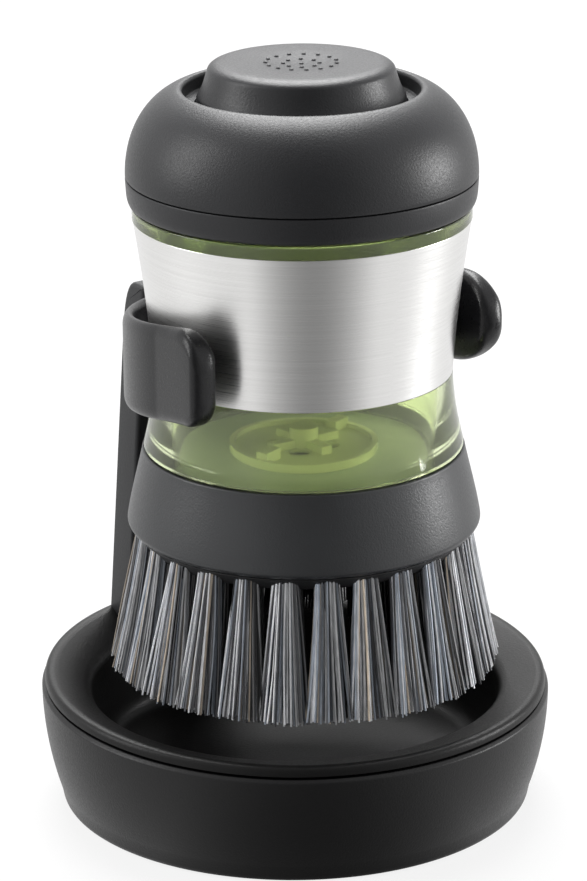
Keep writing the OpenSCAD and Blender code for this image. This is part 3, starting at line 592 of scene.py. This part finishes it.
def make_clip():
    """Clip: a band whose arms rise towards their tips and end in thick, rounded pads.

    With d the distance from a tip, the half thickness is t (1 - (1 - d/n)^p)^(1/p) over the nose and then
    falls in a straight line to the band's; the height loses R - sqrt(R^2 - (R - d)^2) at each corner. As
    in the photograph, the left pad is squarer and a little shorter, and the right one is rounder, with its
    lower corner flattened.
    """
    a = np.linspace(0, np.pi / 2, 15)
    steps = np.concatenate([TIP_R * (1 - np.cos(a)), np.linspace(TIP_R, 14, 34)[1:]])
    path, normal, d = clip_path(CLIP_R + CLIP_T / 2, ARM_REACH + TIP_R, steps)
    right = path[:, 0] > 0
    thick = np.where(right, TIP_R, LEFT_TIP_R)
    nose = np.where(right, TIP_R, LEFT_NOSE)
    power = np.where(right, 2, LEFT_POWER)
    near = np.clip(1 - d / nose, 0, 1)
    ease = np.clip((d - nose) / TIP_TAPER, 0, 1)
    half = np.maximum(thick * (1 - near**power)**(1 / power), 0.03)
    half = np.where(d < nose, half, thick + (CLIP_T / 2 - thick) * ease)
    short = np.where(right, 0, LEFT_SHORT * np.clip(1 - d / SHORT_FADE, 0, 1))
    path = path + np.stack([0 * short, short], 1)
    rise = clip_rise(path[:, 1])
    high = CLIP_TOP + rise - corner_loss(d, np.where(right, RIGHT_CORNERS[0], LEFT_CORNERS[0]))
    right_low = FLAT_CORNER * corner_loss(d, RIGHT_CORNERS[1])
    low = CLIP_Z + rise + np.where(right, right_low, corner_loss(d, LEFT_CORNERS[1]))
    return recalc(band("clip_band", path, normal, half, 0 * d, low, high, EDGE_REACH))


def make_ribs():
    """Two soft grip ribs inside the band, which meet the brush's waist with a small gap.

    Their half thickness fades at each end as the root of 1 - (1 - d/3)^2.
    """
    made = []
    reach = 2
    rib_r, rib_half, rib_h, fade = 30.0, 1.5, 2, 3
    rib_z = CLIP_Z + clip_rise(BRUSH_Y - ARM_REACH + fade) + 0.8
    for name, z in (("clip_rib_low", rib_z), ("clip_rib_high", rib_z + 5)):
        steps = np.linspace(0, fade, 7)
        path, normal, d = clip_path(rib_r, reach, steps)
        half = rib_half * np.sqrt(np.clip(1 - (1 - np.minimum(d, fade) / fade)**2, 0.0004, 1))
        level = np.full(len(d), z)
        made.append(recalc(band(name, path, normal, half, rib_half - half, level, level + rib_h, (0.7, 0.7))))
    return made


def make_saddle():
    """Block that joins the band to the post's leaning face."""
    low, high, front = CLIP_Z + 1.1, CLIP_TOP - 0.7, 28.6
    face = POST_T - 0.1
    corners = [(front, low, 0.4), (post_back(low) - face, low, 0),
               (post_back(high) - face, high, 0), (front, high, 0.4)]
    return slab("clip_saddle", rounded(corners), 9, 0.6)


finish_piece(make_base(), "holder", SHADED_BASE_CHARCOAL, "charcoal_plastic", "base_shell")
finish_piece(make_tray(), "holder", TRAY_BLACK, "black_plastic", "drip_tray")
finish_piece(recalc(make_post()), "holder", POST_CHARCOAL, "charcoal_plastic", "back_post")
finish_piece(make_clip(), "holder", CLIP_BLACK, "black_plastic", "grip_clip")
finish_piece(recalc(make_saddle()), "holder", CLIP_BLACK, "black_plastic")
for rib in make_ribs():
    finish_piece(rib, "holder", CLIP_BLACK, "black_plastic")
dress_node("non_slip_ring", SOFT_GREY)


# Tank, sleeve and valve
WINDOW = bezier([(WINDOW_R, TANK_Z), (29.5, TANK_Z + 3.2), (28.2, TANK_Z + 7.9), (WAIST_R, SLEEVE_Z)], 20)
SLEEVE = bezier([(WAIST_R, SLEEVE_Z), (28.45, SLEEVE_Z + 8.8), (29.9, SLEEVE_Z + 20.1),
                 (SLEEVE_R, SLEEVE_TOP)], 28)


def make_sleeve():
    """Steel sheet on the waist's curve, 0.5 mm thick, with its edges broken."""
    inner = (SLEEVE - [0.5, 0])[::-1]
    corners = chain([(*SLEEVE[0], 0.12)], flat(SLEEVE[1:-1]), [(*SLEEVE[-1], 0.18)],
                    [(*inner[0], 0.1)], flat(inner[1:-1]), [(*inner[-1], 0.1)])
    return lathe("waist_sleeve", rounded(corners, 4), turns=256)


def make_tank():
    """Clear tank: curved window, wall behind the sleeve, top band with shoulder, neck and floor."""
    behind = SLEEVE - [0.55, 0]
    floor_z = TANK_Z - 2.8
    under_z = floor_z - 2.4
    corners = chain(
        [(24.6, under_z, 0), (28.2, under_z, 0.6), (28.2, TANK_Z, 0.2), (30.1, TANK_Z, 0.25)],
        flat(WINDOW[1:-1]), [(*WINDOW[-1], 0.1)],
        flat(behind),
        [(31.5, SLEEVE_TOP, 0.15), (31.5, BAND_TOP, 0.35), (NECK_R, BAND_TOP, 0.3), (NECK_R, NECK_Z, 0.4),
         (26.6, NECK_Z, 0.3), (26.6, SLEEVE_TOP, 4), (26.5, 101.5, 4), (25.5, SLEEVE_Z, 5),
         (25.7, TANK_Z + 4.2, 4), (25.9, floor_z, 1.6), (24.6, floor_z, 0)])
    return lathe("soap_tank", rounded(corners, 6), turns=256)


def make_tank_floor():
    """Milky floor of the tank: a disc with a hole for the valve's barrel."""
    low, high = TANK_Z - 5.2, TANK_Z - 2.8
    corners = [(10.9, low, 0.2), (24.55, low, 0), (24.55, high, 0), (10.9, high, 0.3)]
    return lathe("tank_floor", rounded(corners, 3), turns=192)


def make_thread(name, radius, out, start, turns_up, pitch, outward=True):
    """Screw thread: a small trapezium carried up a helix, fading in and out at its ends.

    At a share t of the way it stands at start + t * turns_up * pitch, and its size is the root of
    18 t, or of 18 (1 - t) near the other end, up to 1.
    """
    steps_per_turn = 96
    n = int(turns_up * steps_per_turn)
    t = np.linspace(0, 1, n + 1)
    a = t * turns_up * TAU
    fade = np.sqrt(np.clip(np.minimum(t, 1 - t) * 18, 0.001, 1))
    sign = 1 if outward else -1
    profile = np.array([(-0.25, -0.75), (0, -0.7), (1, -0.25), (1, 0.25), (0, 0.7), (-0.25, 0.75)])
    r = radius + sign * profile[None, :, 0] * out * fade[:, None]
    z = start + (t * turns_up * pitch)[:, None] + profile[None, :, 1] * (0.4 + 0.6 * fade[:, None])
    points = np.stack([r * np.sin(a)[:, None], BRUSH_Y - r * np.cos(a)[:, None], z], -1)
    columns = points.shape[1]
    faces = grid_faces(n + 1, columns, wrap_columns=True).tolist()
    faces += [list(range(columns))[::-1], list(range(n * columns, (n + 1) * columns))]
    return recalc(put_mesh(name, points.reshape(-1, 3), faces))


finish_piece(make_tank(), "brush", GREEN, "clear_green", "tank")
finish_piece(make_tank_floor(), "brush", FLOOR_GREEN, "clear_green")
finish_piece(make_thread("neck_thread", NECK_R, 0.65, BAND_TOP + 1.3, *THREAD),
             "brush", GREEN, "clear_green")
finish_piece(make_sleeve(), "brush", STEEL, "steel", "steel_sleeve")
dress_node("valve_housing", HOUSING_GREEN)
dress_node("housing_seal", SOFT_GREY)
dress_node("outlet_valve", MILKY)
dress_node("valve_retainer", PALE)
dress_node("cap_gasket", SOFT_GREY)


# Cap and button
def make_dome():
    """Dome: one long curve from the seam to the lip, rounded lip, opening wall and ledge."""
    lip_r, ledge_z = OPENING_R + 1.2, RIM_Z - 2.9
    outer = bezier([(CAP_R, CAP_SEAM + 0.3), (CAP_R, CAP_SEAM + 7.4), (CAP_R - 3.3, RIM_Z - 2.2),
                    (lip_r, RIM_Z - 0.1)], 36)
    inner = bezier([(OPENING_R + 1.6, ledge_z - 1.5), (CAP_R - 6.2, ledge_z - 2.5),
                    (CAP_R - 2, CAP_SEAM + 7.2), (CAP_R - 2, CAP_SEAM + 0.1)], 16)
    lip = bezier([(lip_r, RIM_Z - 0.1), (lip_r - 0.5, RIM_Z), (OPENING_R, RIM_Z),
                  (OPENING_R, RIM_Z - 0.9)], 10)
    corners = chain(
        [(CAP_R - 2, CAP_SEAM + 0.05, 0), (CAP_R - 0.2, CAP_SEAM + 0.05, 0.15)], flat(outer[:-1]), flat(lip),
        [(OPENING_R - 0.1, ledge_z, 0.3), (BUTTON_R + 0.3, ledge_z, 0.2),
         (BUTTON_R + 0.3, ledge_z - 1.5, 0.1)],
        flat(inner[:-1]))
    return lathe("cap_shell", rounded(corners, 5), turns=256)


def make_core():
    """Lower part of the cap: visible band with a rounded lower edge, skirt, deck and pump cylinder."""
    pump_in, pump_out, pump_top, vent_r = 12.5, 14.3, DECK_TOP + 9.3, 1.5
    corners = [(vent_r, DECK_Z, 0), (SKIRT_R, DECK_Z, 0.2), (SKIRT_R, CAP_Z, 0.3), (CAP_R - 0.7, CAP_Z, 0.5),
               (CAP_R - 0.2, CAP_Z + 1.2, 1.2), (CAP_R, CAP_Z + 4.6, 0), (CAP_R - 0.05, CAP_SEAM - 0.1, 0.2),
               (CAP_R - 2.2, CAP_SEAM - 0.1, 0.1), (CAP_R - 2.2, CAP_SEAM + 1.5, 0.4),
               (CAP_R - 3.4, DECK_TOP, 0.3), (pump_out, DECK_TOP, 0.3), (pump_out, pump_top, 0.4),
               (pump_in, pump_top, 0.3), (pump_in, DECK_TOP, 0.5), (vent_r, DECK_TOP, 0)]
    return lathe("cap_band", rounded(corners, 5), turns=256)


def dish_z(r):
    """Height of the button's dished top: half a cosine wave, 0.5 mm deep."""
    return BUTTON_Z - 0.25 * (1 + np.cos(np.pi * np.minimum(r / 11, 1)))


def make_button():
    """Button: dished top, rounded edge, side that flares to the skirt, flange, spring seat and boss."""
    r = np.linspace(0, 11, 12)
    top_r, foot_z, flange_z = BUTTON_R - 2.6, RIM_Z - 1.6, RIM_Z - 4.7
    inner_z, seat_z = BUTTON_Z - 2.1, BUTTON_Z - 6.7
    side = bezier([(top_r + 0.75, BUTTON_Z - 2.1), (top_r + 1.1, BUTTON_Z - 3.4),
                   (BUTTON_R - 0.9, foot_z + 1), (BUTTON_R - 0.1, foot_z)], 8)
    corners = chain(
        flat(np.stack([r, dish_z(r)], 1)),
        [(top_r - 1.5, BUTTON_Z, 1.5), (top_r + 0.35, BUTTON_Z - 0.75, 1.3)],
        flat(side),
        [(BUTTON_R, foot_z - 0.5, 0.3), (BUTTON_R, flange_z, 0.1), (BUTTON_R + 1.7, flange_z, 0.3),
         (BUTTON_R + 1.7, flange_z - 1.5, 0.3), (BUTTON_R - 1.8, flange_z - 1.5, 0.3),
         (BUTTON_R - 1.8, seat_z, 0.2), (14.9, seat_z, 0.2), (14.9, inner_z, 0.4), (4.6, inner_z, 0.4),
         (4.6, DECK_TOP + 8.6, 0.2), (3.0, DECK_TOP + 8.6, 0.2), (3.0, inner_z - 0.6, 0),
         (0, inner_z - 0.6, 0)])
    return lathe("palm_button", rounded(corners, 6), turns=256)


def make_dots():
    """Raised dots on the button's dish: low domes of revolution on rings of 1, 8 and 15."""
    rows, columns = 5, 14
    t = np.linspace(0, np.pi / 2, rows)
    rr, zz = 0.45 * np.cos(t), 0.34 * np.sin(t)
    a = np.arange(columns) / columns * TAU
    places = []
    for radius, count, start in ((0, 1, 0), (3.34, 8, 0.2), (6.57, 15, 0.05)):
        b = start + np.arange(count) / count * TAU
        places.append(np.stack([radius * np.cos(b), radius * np.sin(b)], 1))
    places = np.concatenate(places)
    radius = np.hypot(*places.T)
    ground = dish_z(radius)
    dome = np.stack([rr[:, None] * np.cos(a), rr[:, None] * np.sin(a), zz[:, None] + 0 * a], -1)
    base = np.column_stack([places[:, 0], places[:, 1] + BRUSH_Y, ground - 0.03])
    points = (base[:, None] + dome.reshape(-1, 3)[None]).reshape(-1, 3)
    quads = grid_faces(rows, columns, wrap_columns=True)
    faces = (quads[None] + (np.arange(len(base)) * rows * columns)[:, None, None]).reshape(-1, 4).tolist()
    ring = np.arange(columns)[::-1]
    faces += [(k * rows * columns + ring).tolist() for k in range(len(base))]
    return recalc(put_mesh("button_dots", points, faces, crease=60))


SPRING_R, WIRE_D, SPRING_TURNS = 15.9, 0.9, 4.5
SPRING_TOP = BUTTON_Z - 6.7


def make_spring():
    """Return spring: a round wire carried up a helix about the pump, level at its two end turns.

    The height is even in the middle, and over the first and last 12 percent of the wire it eases
    in and out by a parabola.
    """
    ease, sides = 0.12, 12
    t = np.linspace(0, 1, int(SPRING_TURNS * 64) + 1)
    starts = 0.5 * t * t / ease / (1 - ease)
    ends = 1 - 0.5 * (1 - t)**2 / ease / (1 - ease)
    climb = np.where(t < ease, starts, np.where(t > 1 - ease, ends, (t - 0.5 * ease) / (1 - ease)))
    low, high = DECK_TOP + WIRE_D / 2 + 0.1, SPRING_TOP - WIRE_D / 2 - 0.1
    a = (t * SPRING_TURNS * TAU)[:, None]
    b = np.arange(sides) / sides * TAU
    r = SPRING_R + WIRE_D / 2 * np.cos(b)
    z = (low + (high - low) * climb)[:, None] + WIRE_D / 2 * np.sin(b)
    points = np.stack([r * np.cos(a), BRUSH_Y + r * np.sin(a), z], -1)
    faces = grid_faces(len(t), sides, wrap_columns=True).tolist()
    faces += [list(range(sides))[::-1], list(range((len(t) - 1) * sides, len(t) * sides))]
    return recalc(put_mesh("wire_spring", points.reshape(-1, 3), faces, crease=60))


def fit_spring():
    """The spring rides with the button, on a mesh of its own."""
    spring = finish_piece(make_spring(), "push_button", WIRE, "spring_wire", "return_spring")
    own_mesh(spring)


finish_piece(make_dome(), "cap", CHARCOAL, "charcoal_plastic", "cap_dome")
finish_piece(make_core(), "cap", CHARCOAL, "charcoal_plastic", "cap_core")
finish_piece(make_thread("skirt_thread", SKIRT_R + 0.05, 0.28, CAP_Z + 1.6, *THREAD, outward=False),
             "cap", CHARCOAL, "charcoal_plastic")
finish_piece(make_button(), "push_button", CHARCOAL, "charcoal_plastic", "button")
finish_piece(make_dots(), "push_button", CHARCOAL, "charcoal_plastic")
dress_node("air_valve", MILKY)
fit_spring()
dress_node("pump_piston", PALE)
dress_node("piston_seal", SOFT_GREY)


# Brush head
COLLAR_TOP = TANK_Z - 0.3
COLLAR_LOW = COLLAR_TOP - 14
COLLAR_R = 33.4
PLATE_TOP = COLLAR_LOW + 0.4
PLATE_Z = PLATE_TOP - 3.7
FACE_Z = PLATE_Z - 1


def make_collar():
    """Collar: side that flares down to a rounded rim, bevel, plate seat, web and hub inside."""
    side = bezier([(30.4, COLLAR_TOP - 0.4), (31.3, COLLAR_TOP - 4.5), (COLLAR_R - 0.65, COLLAR_LOW + 4.3),
                   (COLLAR_R, COLLAR_LOW + 0.1)], 20)
    web_z = TANK_Z - 8.0
    corners = chain(
        [(28.6, COLLAR_TOP, 0.2), (30.35, COLLAR_TOP, 0.35)], flat(side[1:-1]),
        [(COLLAR_R + 0.05, COLLAR_LOW - 0.3, 0.5), (COLLAR_R - 0.5, COLLAR_LOW - 1.1, 0.5),
         (COLLAR_R - 1.1, COLLAR_LOW - 1.5, 0.2), (29.9, COLLAR_LOW - 1.5, 0), (29.9, PLATE_TOP + 0.1, 0),
         (28.8, PLATE_TOP + 0.1, 0), (28.8, PLATE_TOP + 2, 0), (28.9, web_z, 0.8), (12.9, web_z, 0.4),
         (12.9, web_z - 3.5, 0.2), (11.1, web_z - 3.5, 0.2), (11.1, web_z + 1.8, 0.2),
         (28.6, web_z + 1.8, 0.5)])
    return lathe("head_collar", rounded(corners, 5), turns=256)


def make_plate_face():
    """Face of the bristle plate: level in the middle, bevelled up to the collar at its edge."""
    corners = [(4.7, FACE_Z, 0.2), (30.25, FACE_Z, 0.6), (32.2, FACE_Z + 2.65, 0.3), (29.85, FACE_Z + 2.7, 0),
               (29.85, PLATE_Z, 0), (4.7, PLATE_Z, 0)]
    return lathe("plate_face", rounded(corners, 4), turns=192)


TIP_Z = 29.1
STRAND_R = 0.21
GOLDEN_ANGLE = 2.39996
FIRST_SEED = 5
ROWS = (
    # name, node, root radius, lean, tufts, strands, root half sizes, tip half sizes, shift, tone (painted
    # light and shade: outer row paler, inner rows darker)
    ("tufts_outer", "bristle_row_1", 30.8, 10.3, 26, 74, (0.8, 2.35), (1.7, 4.75), 0.0, 1.2),
    ("tufts_second", "bristle_row_2", 25.2, 8.0, 22, 48, (1.0, 2.2), (1.8, 4.0), 0.5, 0.5),
    ("tufts_third", "bristle_row_3", 18.8, 5.5, 16, 36, (1.0, 2.2), (1.8, 3.6), 0.0, 0.35),
    ("tufts_inner", "bristle_row_4", 12.6, 3.0, 10, 30, (1.0, 2.2), (1.8, 3.2), 0.5, 0.3),
)


def strand_colours(side, tone, random):
    """Silver, blue-grey, dark and sandy strands, with painted light and shade: paler on one side of each tuft
    than on the other, and scaled by each row's tone.
    """
    silver, blue_grey, grey = (0.78, 0.79, 0.81), (0.36, 0.4, 0.46), (0.15, 0.155, 0.17)
    dark, sandy = (0.025, 0.025, 0.03), (0.6, 0.51, 0.41)
    kinds = np.array([silver, blue_grey, grey, dark, sandy])
    share = np.cumsum([0.44, 0.22, 0.12, 0.14])
    kind = np.searchsorted(share, random.random(len(side)))
    # Painted light and shade: strands on one side of each tuft are paler and those on the other darker, and
    # tone lightens or darkens a whole row.
    level = np.clip(0.75 - 0.5 * side, 0.25, 1.15) * random.uniform(0.7, 1.2, len(side)) * tone
    return kinds[kind] * level[:, None]


def make_tufts(name, root_r, lean, tufts, strands, root_half, tip_half, shift, tone, seed):
    """Tufts of one row.

    A strand runs from a point of the tuft's root ellipse to the same point of its tip ellipse. Its middle
    line is root + (tip - root) * (0.86 u + 0.14 u^2) in plan, with a small bow of half a sine wave, and
    falls evenly. Its section is a square that thins a little. The points of an ellipse lie on a spiral
    that turns by the golden angle from one strand to the next.
    """
    random = np.random.default_rng(seed)
    total = tufts * strands
    tuft = np.repeat(np.arange(tufts), strands)
    k = np.tile(np.arange(strands), tufts)
    spread = np.sqrt((k + 0.5) / strands)
    turn = k * GOLDEN_ANGLE + tuft * 1.7
    ex = spread * np.cos(turn) + random.normal(0, 0.05, total)
    ey = spread * np.sin(turn) + random.normal(0, 0.05, total)
    root_rr = root_r + root_half[0] * ex
    bevel = np.clip(root_rr - 30.3, 0, None) * 1.36
    root = np.stack([root_rr, root_half[1] * ey, FACE_Z + 0.5 + bevel], 1)
    tip_z = TIP_Z + random.normal(0, 0.2, total) + 0.2 * random.normal(0, 1, tufts)[tuft]
    drop = FACE_Z + 1 - TIP_Z
    wild = np.where(random.random(total) < 0.06, 2.4, 0.9)
    tip_r = root_r + drop * np.tan(np.radians(lean)) + tip_half[0] * ex + random.normal(0, 0.16, total) * wild
    tip_t = tip_half[1] * ey + random.normal(0, 0.2, total) * wild + random.normal(0, 0.3, tufts)[tuft]
    tip = np.stack([tip_r, tip_t, np.clip(tip_z, TIP_Z - 0.6, TIP_Z + 0.9)], 1)
    u = np.array([0, 0.12, 0.35, 0.62, 0.85, 1.0])
    ease = (0.86 * u + 0.14 * u * u)[None, :, None]
    line = root[:, None] + (tip - root)[:, None] * ease
    line[..., 2] = root[:, None, 2] + (tip - root)[:, None, 2] * u
    bow = random.normal(0, 0.16, (total, 1, 2)) * np.sin(np.pi * u)[None, :, None]
    line[..., :2] += bow
    width = STRAND_R * (1 - 0.1 * u)[None, :, None, None]
    a = random.random(total)[:, None] * TAU + np.arange(4) * TAU / 4
    ring = np.stack([np.cos(a), np.sin(a), 0 * a], -1)[:, None]
    points = line[:, :, None, :] + width * ring
    angle = (tuft + shift) / tufts * TAU
    c, s = np.cos(angle)[:, None, None], np.sin(angle)[:, None, None]
    x, y, z = points[..., 0], points[..., 1], points[..., 2]
    points = np.stack([x * s + y * c, BRUSH_Y - x * c + y * s, z], -1)
    rings, sides = len(u), 4
    quads = grid_faces(rings, sides, wrap_columns=True)
    per = rings * sides
    faces = np.concatenate([quads, [[3, 2, 1, 0]], [[per - 4, per - 3, per - 2, per - 1]]])
    faces = (faces[None] + (np.arange(total) * per)[:, None, None]).reshape(-1, 4)
    obj = put_mesh(name, points.reshape(-1, 3), faces[:, ::-1].tolist(), crease=60)
    shade = obj.data.color_attributes.new("strand_colour", "FLOAT_COLOR", "POINT")
    # The strand colours hold painted light and shade: one side of each tuft paler, the inner rows darker.
    colour = np.repeat(strand_colours(ey, tone, random), per, 0)
    with_alpha = np.column_stack([colour, np.ones(len(colour))])
    shade.data.foreach_set("color", with_alpha.astype(np.float32).ravel())
    return recalc(obj)


finish_piece(make_collar(), "brush_head", LIT_COLLAR_CHARCOAL, "charcoal_plastic", "brush_collar")
finish_piece(make_plate_face(), "brush_head", PLATE_BLACK, "black_plastic")
for seed, (name, node, *sizes) in enumerate(ROWS):
    finish_piece(make_tufts(name, *sizes, FIRST_SEED + seed), "brush_head", STRANDS, "bristle", node)
dress_node("bristle_plate", PLATE_BLACK)
dress_node("head_seal", SOFT_GREY)


# Studio
DARK_WAY = way(-27, 0)
FILL_STRENGTH = 0.35
FLOOR_SIZE = 3.0
LAMP_AIM_Z = 0.08


def studio_glow(tree, place):
    """Brightness of the studio in a direction: white all round, with a soft dark gap at the camera."""
    flat_way = tree.nodes.new("ShaderNodeVectorMath")
    flat_way.operation = "MULTIPLY"
    flat_way.inputs[1].default_value = (1, 1, 0)
    unit = tree.nodes.new("ShaderNodeVectorMath")
    unit.operation = "NORMALIZE"
    facing = tree.nodes.new("ShaderNodeVectorMath")
    facing.operation = "DOT_PRODUCT"
    facing.inputs[1].default_value = DARK_WAY
    tree.links.new(place, flat_way.inputs[0])
    tree.links.new(flat_way.outputs["Vector"], unit.inputs[0])
    tree.links.new(unit.outputs["Vector"], facing.inputs[0])
    gap = tree.nodes.new("ShaderNodeMapRange")
    for key, number in (("From Min", 1.0), ("From Max", 0.72), ("To Min", 0.3), ("To Max", 1.0)):
        gap.inputs[key].default_value = number
    tree.links.new(facing.outputs["Value"], gap.inputs["Value"])
    return gap.outputs["Result"]


def make_floor():
    """Pale floor: white to the camera and through clear parts, with the object's soft shadow.

    Glossy rays see the studio's glow on it, and the light that it gives back is that of a pale grey.
    """
    corners = [(x * FLOOR_SIZE, y * FLOOR_SIZE, 0) for x, y in ((-1, -1), (1, -1), (1, 1), (-1, 1))]
    mesh = bpy.data.meshes.new("studio_floor")
    mesh.from_pydata(corners, [], [(0, 1, 2, 3)])
    floor = bpy.data.objects.new("studio_floor", mesh)
    bpy.context.scene.collection.objects.link(floor)
    material = bpy.data.materials.new("studio_floor")
    material.use_nodes = True
    tree = material.node_tree
    tree.nodes.remove(tree.nodes["Principled BSDF"])
    place = tree.nodes.new("ShaderNodeTexCoord").outputs["Object"]
    path = tree.nodes.new("ShaderNodeLightPath")
    pale = add(tree, "ShaderNodeBsdfDiffuse")
    pale.inputs["Color"].default_value = (0.9, 0.9, 0.9, 1)
    white = tree.nodes.new("ShaderNodeEmission")
    glow = tree.nodes.new("ShaderNodeEmission")
    tree.links.new(studio_glow(tree, place), glow.inputs["Strength"])
    plain = add(tree, "ShaderNodeBsdfDiffuse")
    plain.inputs["Color"].default_value = (0.4, 0.4, 0.4, 1)
    seen = mix_shaders(tree, None, pale, white, 0.85)
    shiny = mix_shaders(tree, path.outputs["Is Glossy Ray"], plain, glow)
    through = mix_shaders(tree, path.outputs["Is Transmission Ray"], shiny, seen)
    last = mix_shaders(tree, path.outputs["Is Camera Ray"], through, seen)
    tree.links.new(last.outputs[0], tree.nodes["Material Output"].inputs["Surface"])
    mesh.materials.append(material)


def mix_shaders(tree, factor, first, second, share=0.5):
    """Mix of two shaders by a socket, or by a fixed share."""
    node = tree.nodes.new("ShaderNodeMixShader")
    node.inputs["Fac"].default_value = share
    if factor is not None:
        tree.links.new(factor, node.inputs["Fac"])
    tree.links.new(first.outputs[0], node.inputs[1])
    tree.links.new(second.outputs[0], node.inputs[2])
    return node


def make_world():
    """White background for the camera, for clear parts and for reflections; a soft fill for the rest."""
    world = bpy.data.worlds.new("studio")
    bpy.context.scene.world = world
    world.use_nodes = True
    tree = world.node_tree
    place = tree.nodes.new("ShaderNodeTexCoord").outputs["Generated"]
    path = tree.nodes.new("ShaderNodeLightPath")
    fill = tree.nodes["Background"]
    fill.inputs["Color"].default_value = (1, 1, 1, 1)
    fill.inputs["Strength"].default_value = FILL_STRENGTH
    glow = tree.nodes.new("ShaderNodeBackground")
    tree.links.new(studio_glow(tree, place), glow.inputs["Strength"])
    white = tree.nodes.new("ShaderNodeBackground")
    white.inputs["Color"].default_value = (1, 1, 1, 1)
    glow.inputs["Color"].default_value = (1, 1, 1, 1)
    shiny = mix_shaders(tree, path.outputs["Is Glossy Ray"], fill, glow)
    through = mix_shaders(tree, path.outputs["Is Transmission Ray"], shiny, white)
    last = mix_shaders(tree, path.outputs["Is Camera Ray"], through, white)
    tree.links.new(last.outputs[0], tree.nodes["World Output"].inputs["Surface"])


def softbox(name, azimuth, elevation, distance, size, power):
    """Rectangular lamp that looks at the object from a direction given in degrees. Lengths are in metres."""
    towards = way(azimuth, elevation)
    data = bpy.data.lights.new(name, "AREA")
    data.shape = "RECTANGLE"
    data.size, data.size_y = size
    data.energy = power
    lamp = bpy.data.objects.new(name, data)
    bpy.context.scene.collection.objects.link(lamp)
    lamp.location = Vector(towards * distance + [0, 0, LAMP_AIM_Z])
    lamp.rotation_mode = "QUATERNION"
    lamp.rotation_quaternion = Vector(-towards).to_track_quat("-Z", "Y")


make_floor()
make_world()
softbox("left_softbox", -120, 25, 1.0, (0.4, 0.7), 4.5)
softbox("right_softbox", 62, 8, 1.0, (0.3, 0.35), 6)
softbox("top_softbox", 150, 66, 1.0, (0.6, 0.55), 12)
softbox("back_softbox", 145, 42, 1.0, (0.5, 0.3), 4)
bpy.context.scene.view_settings.view_transform = "Standard"
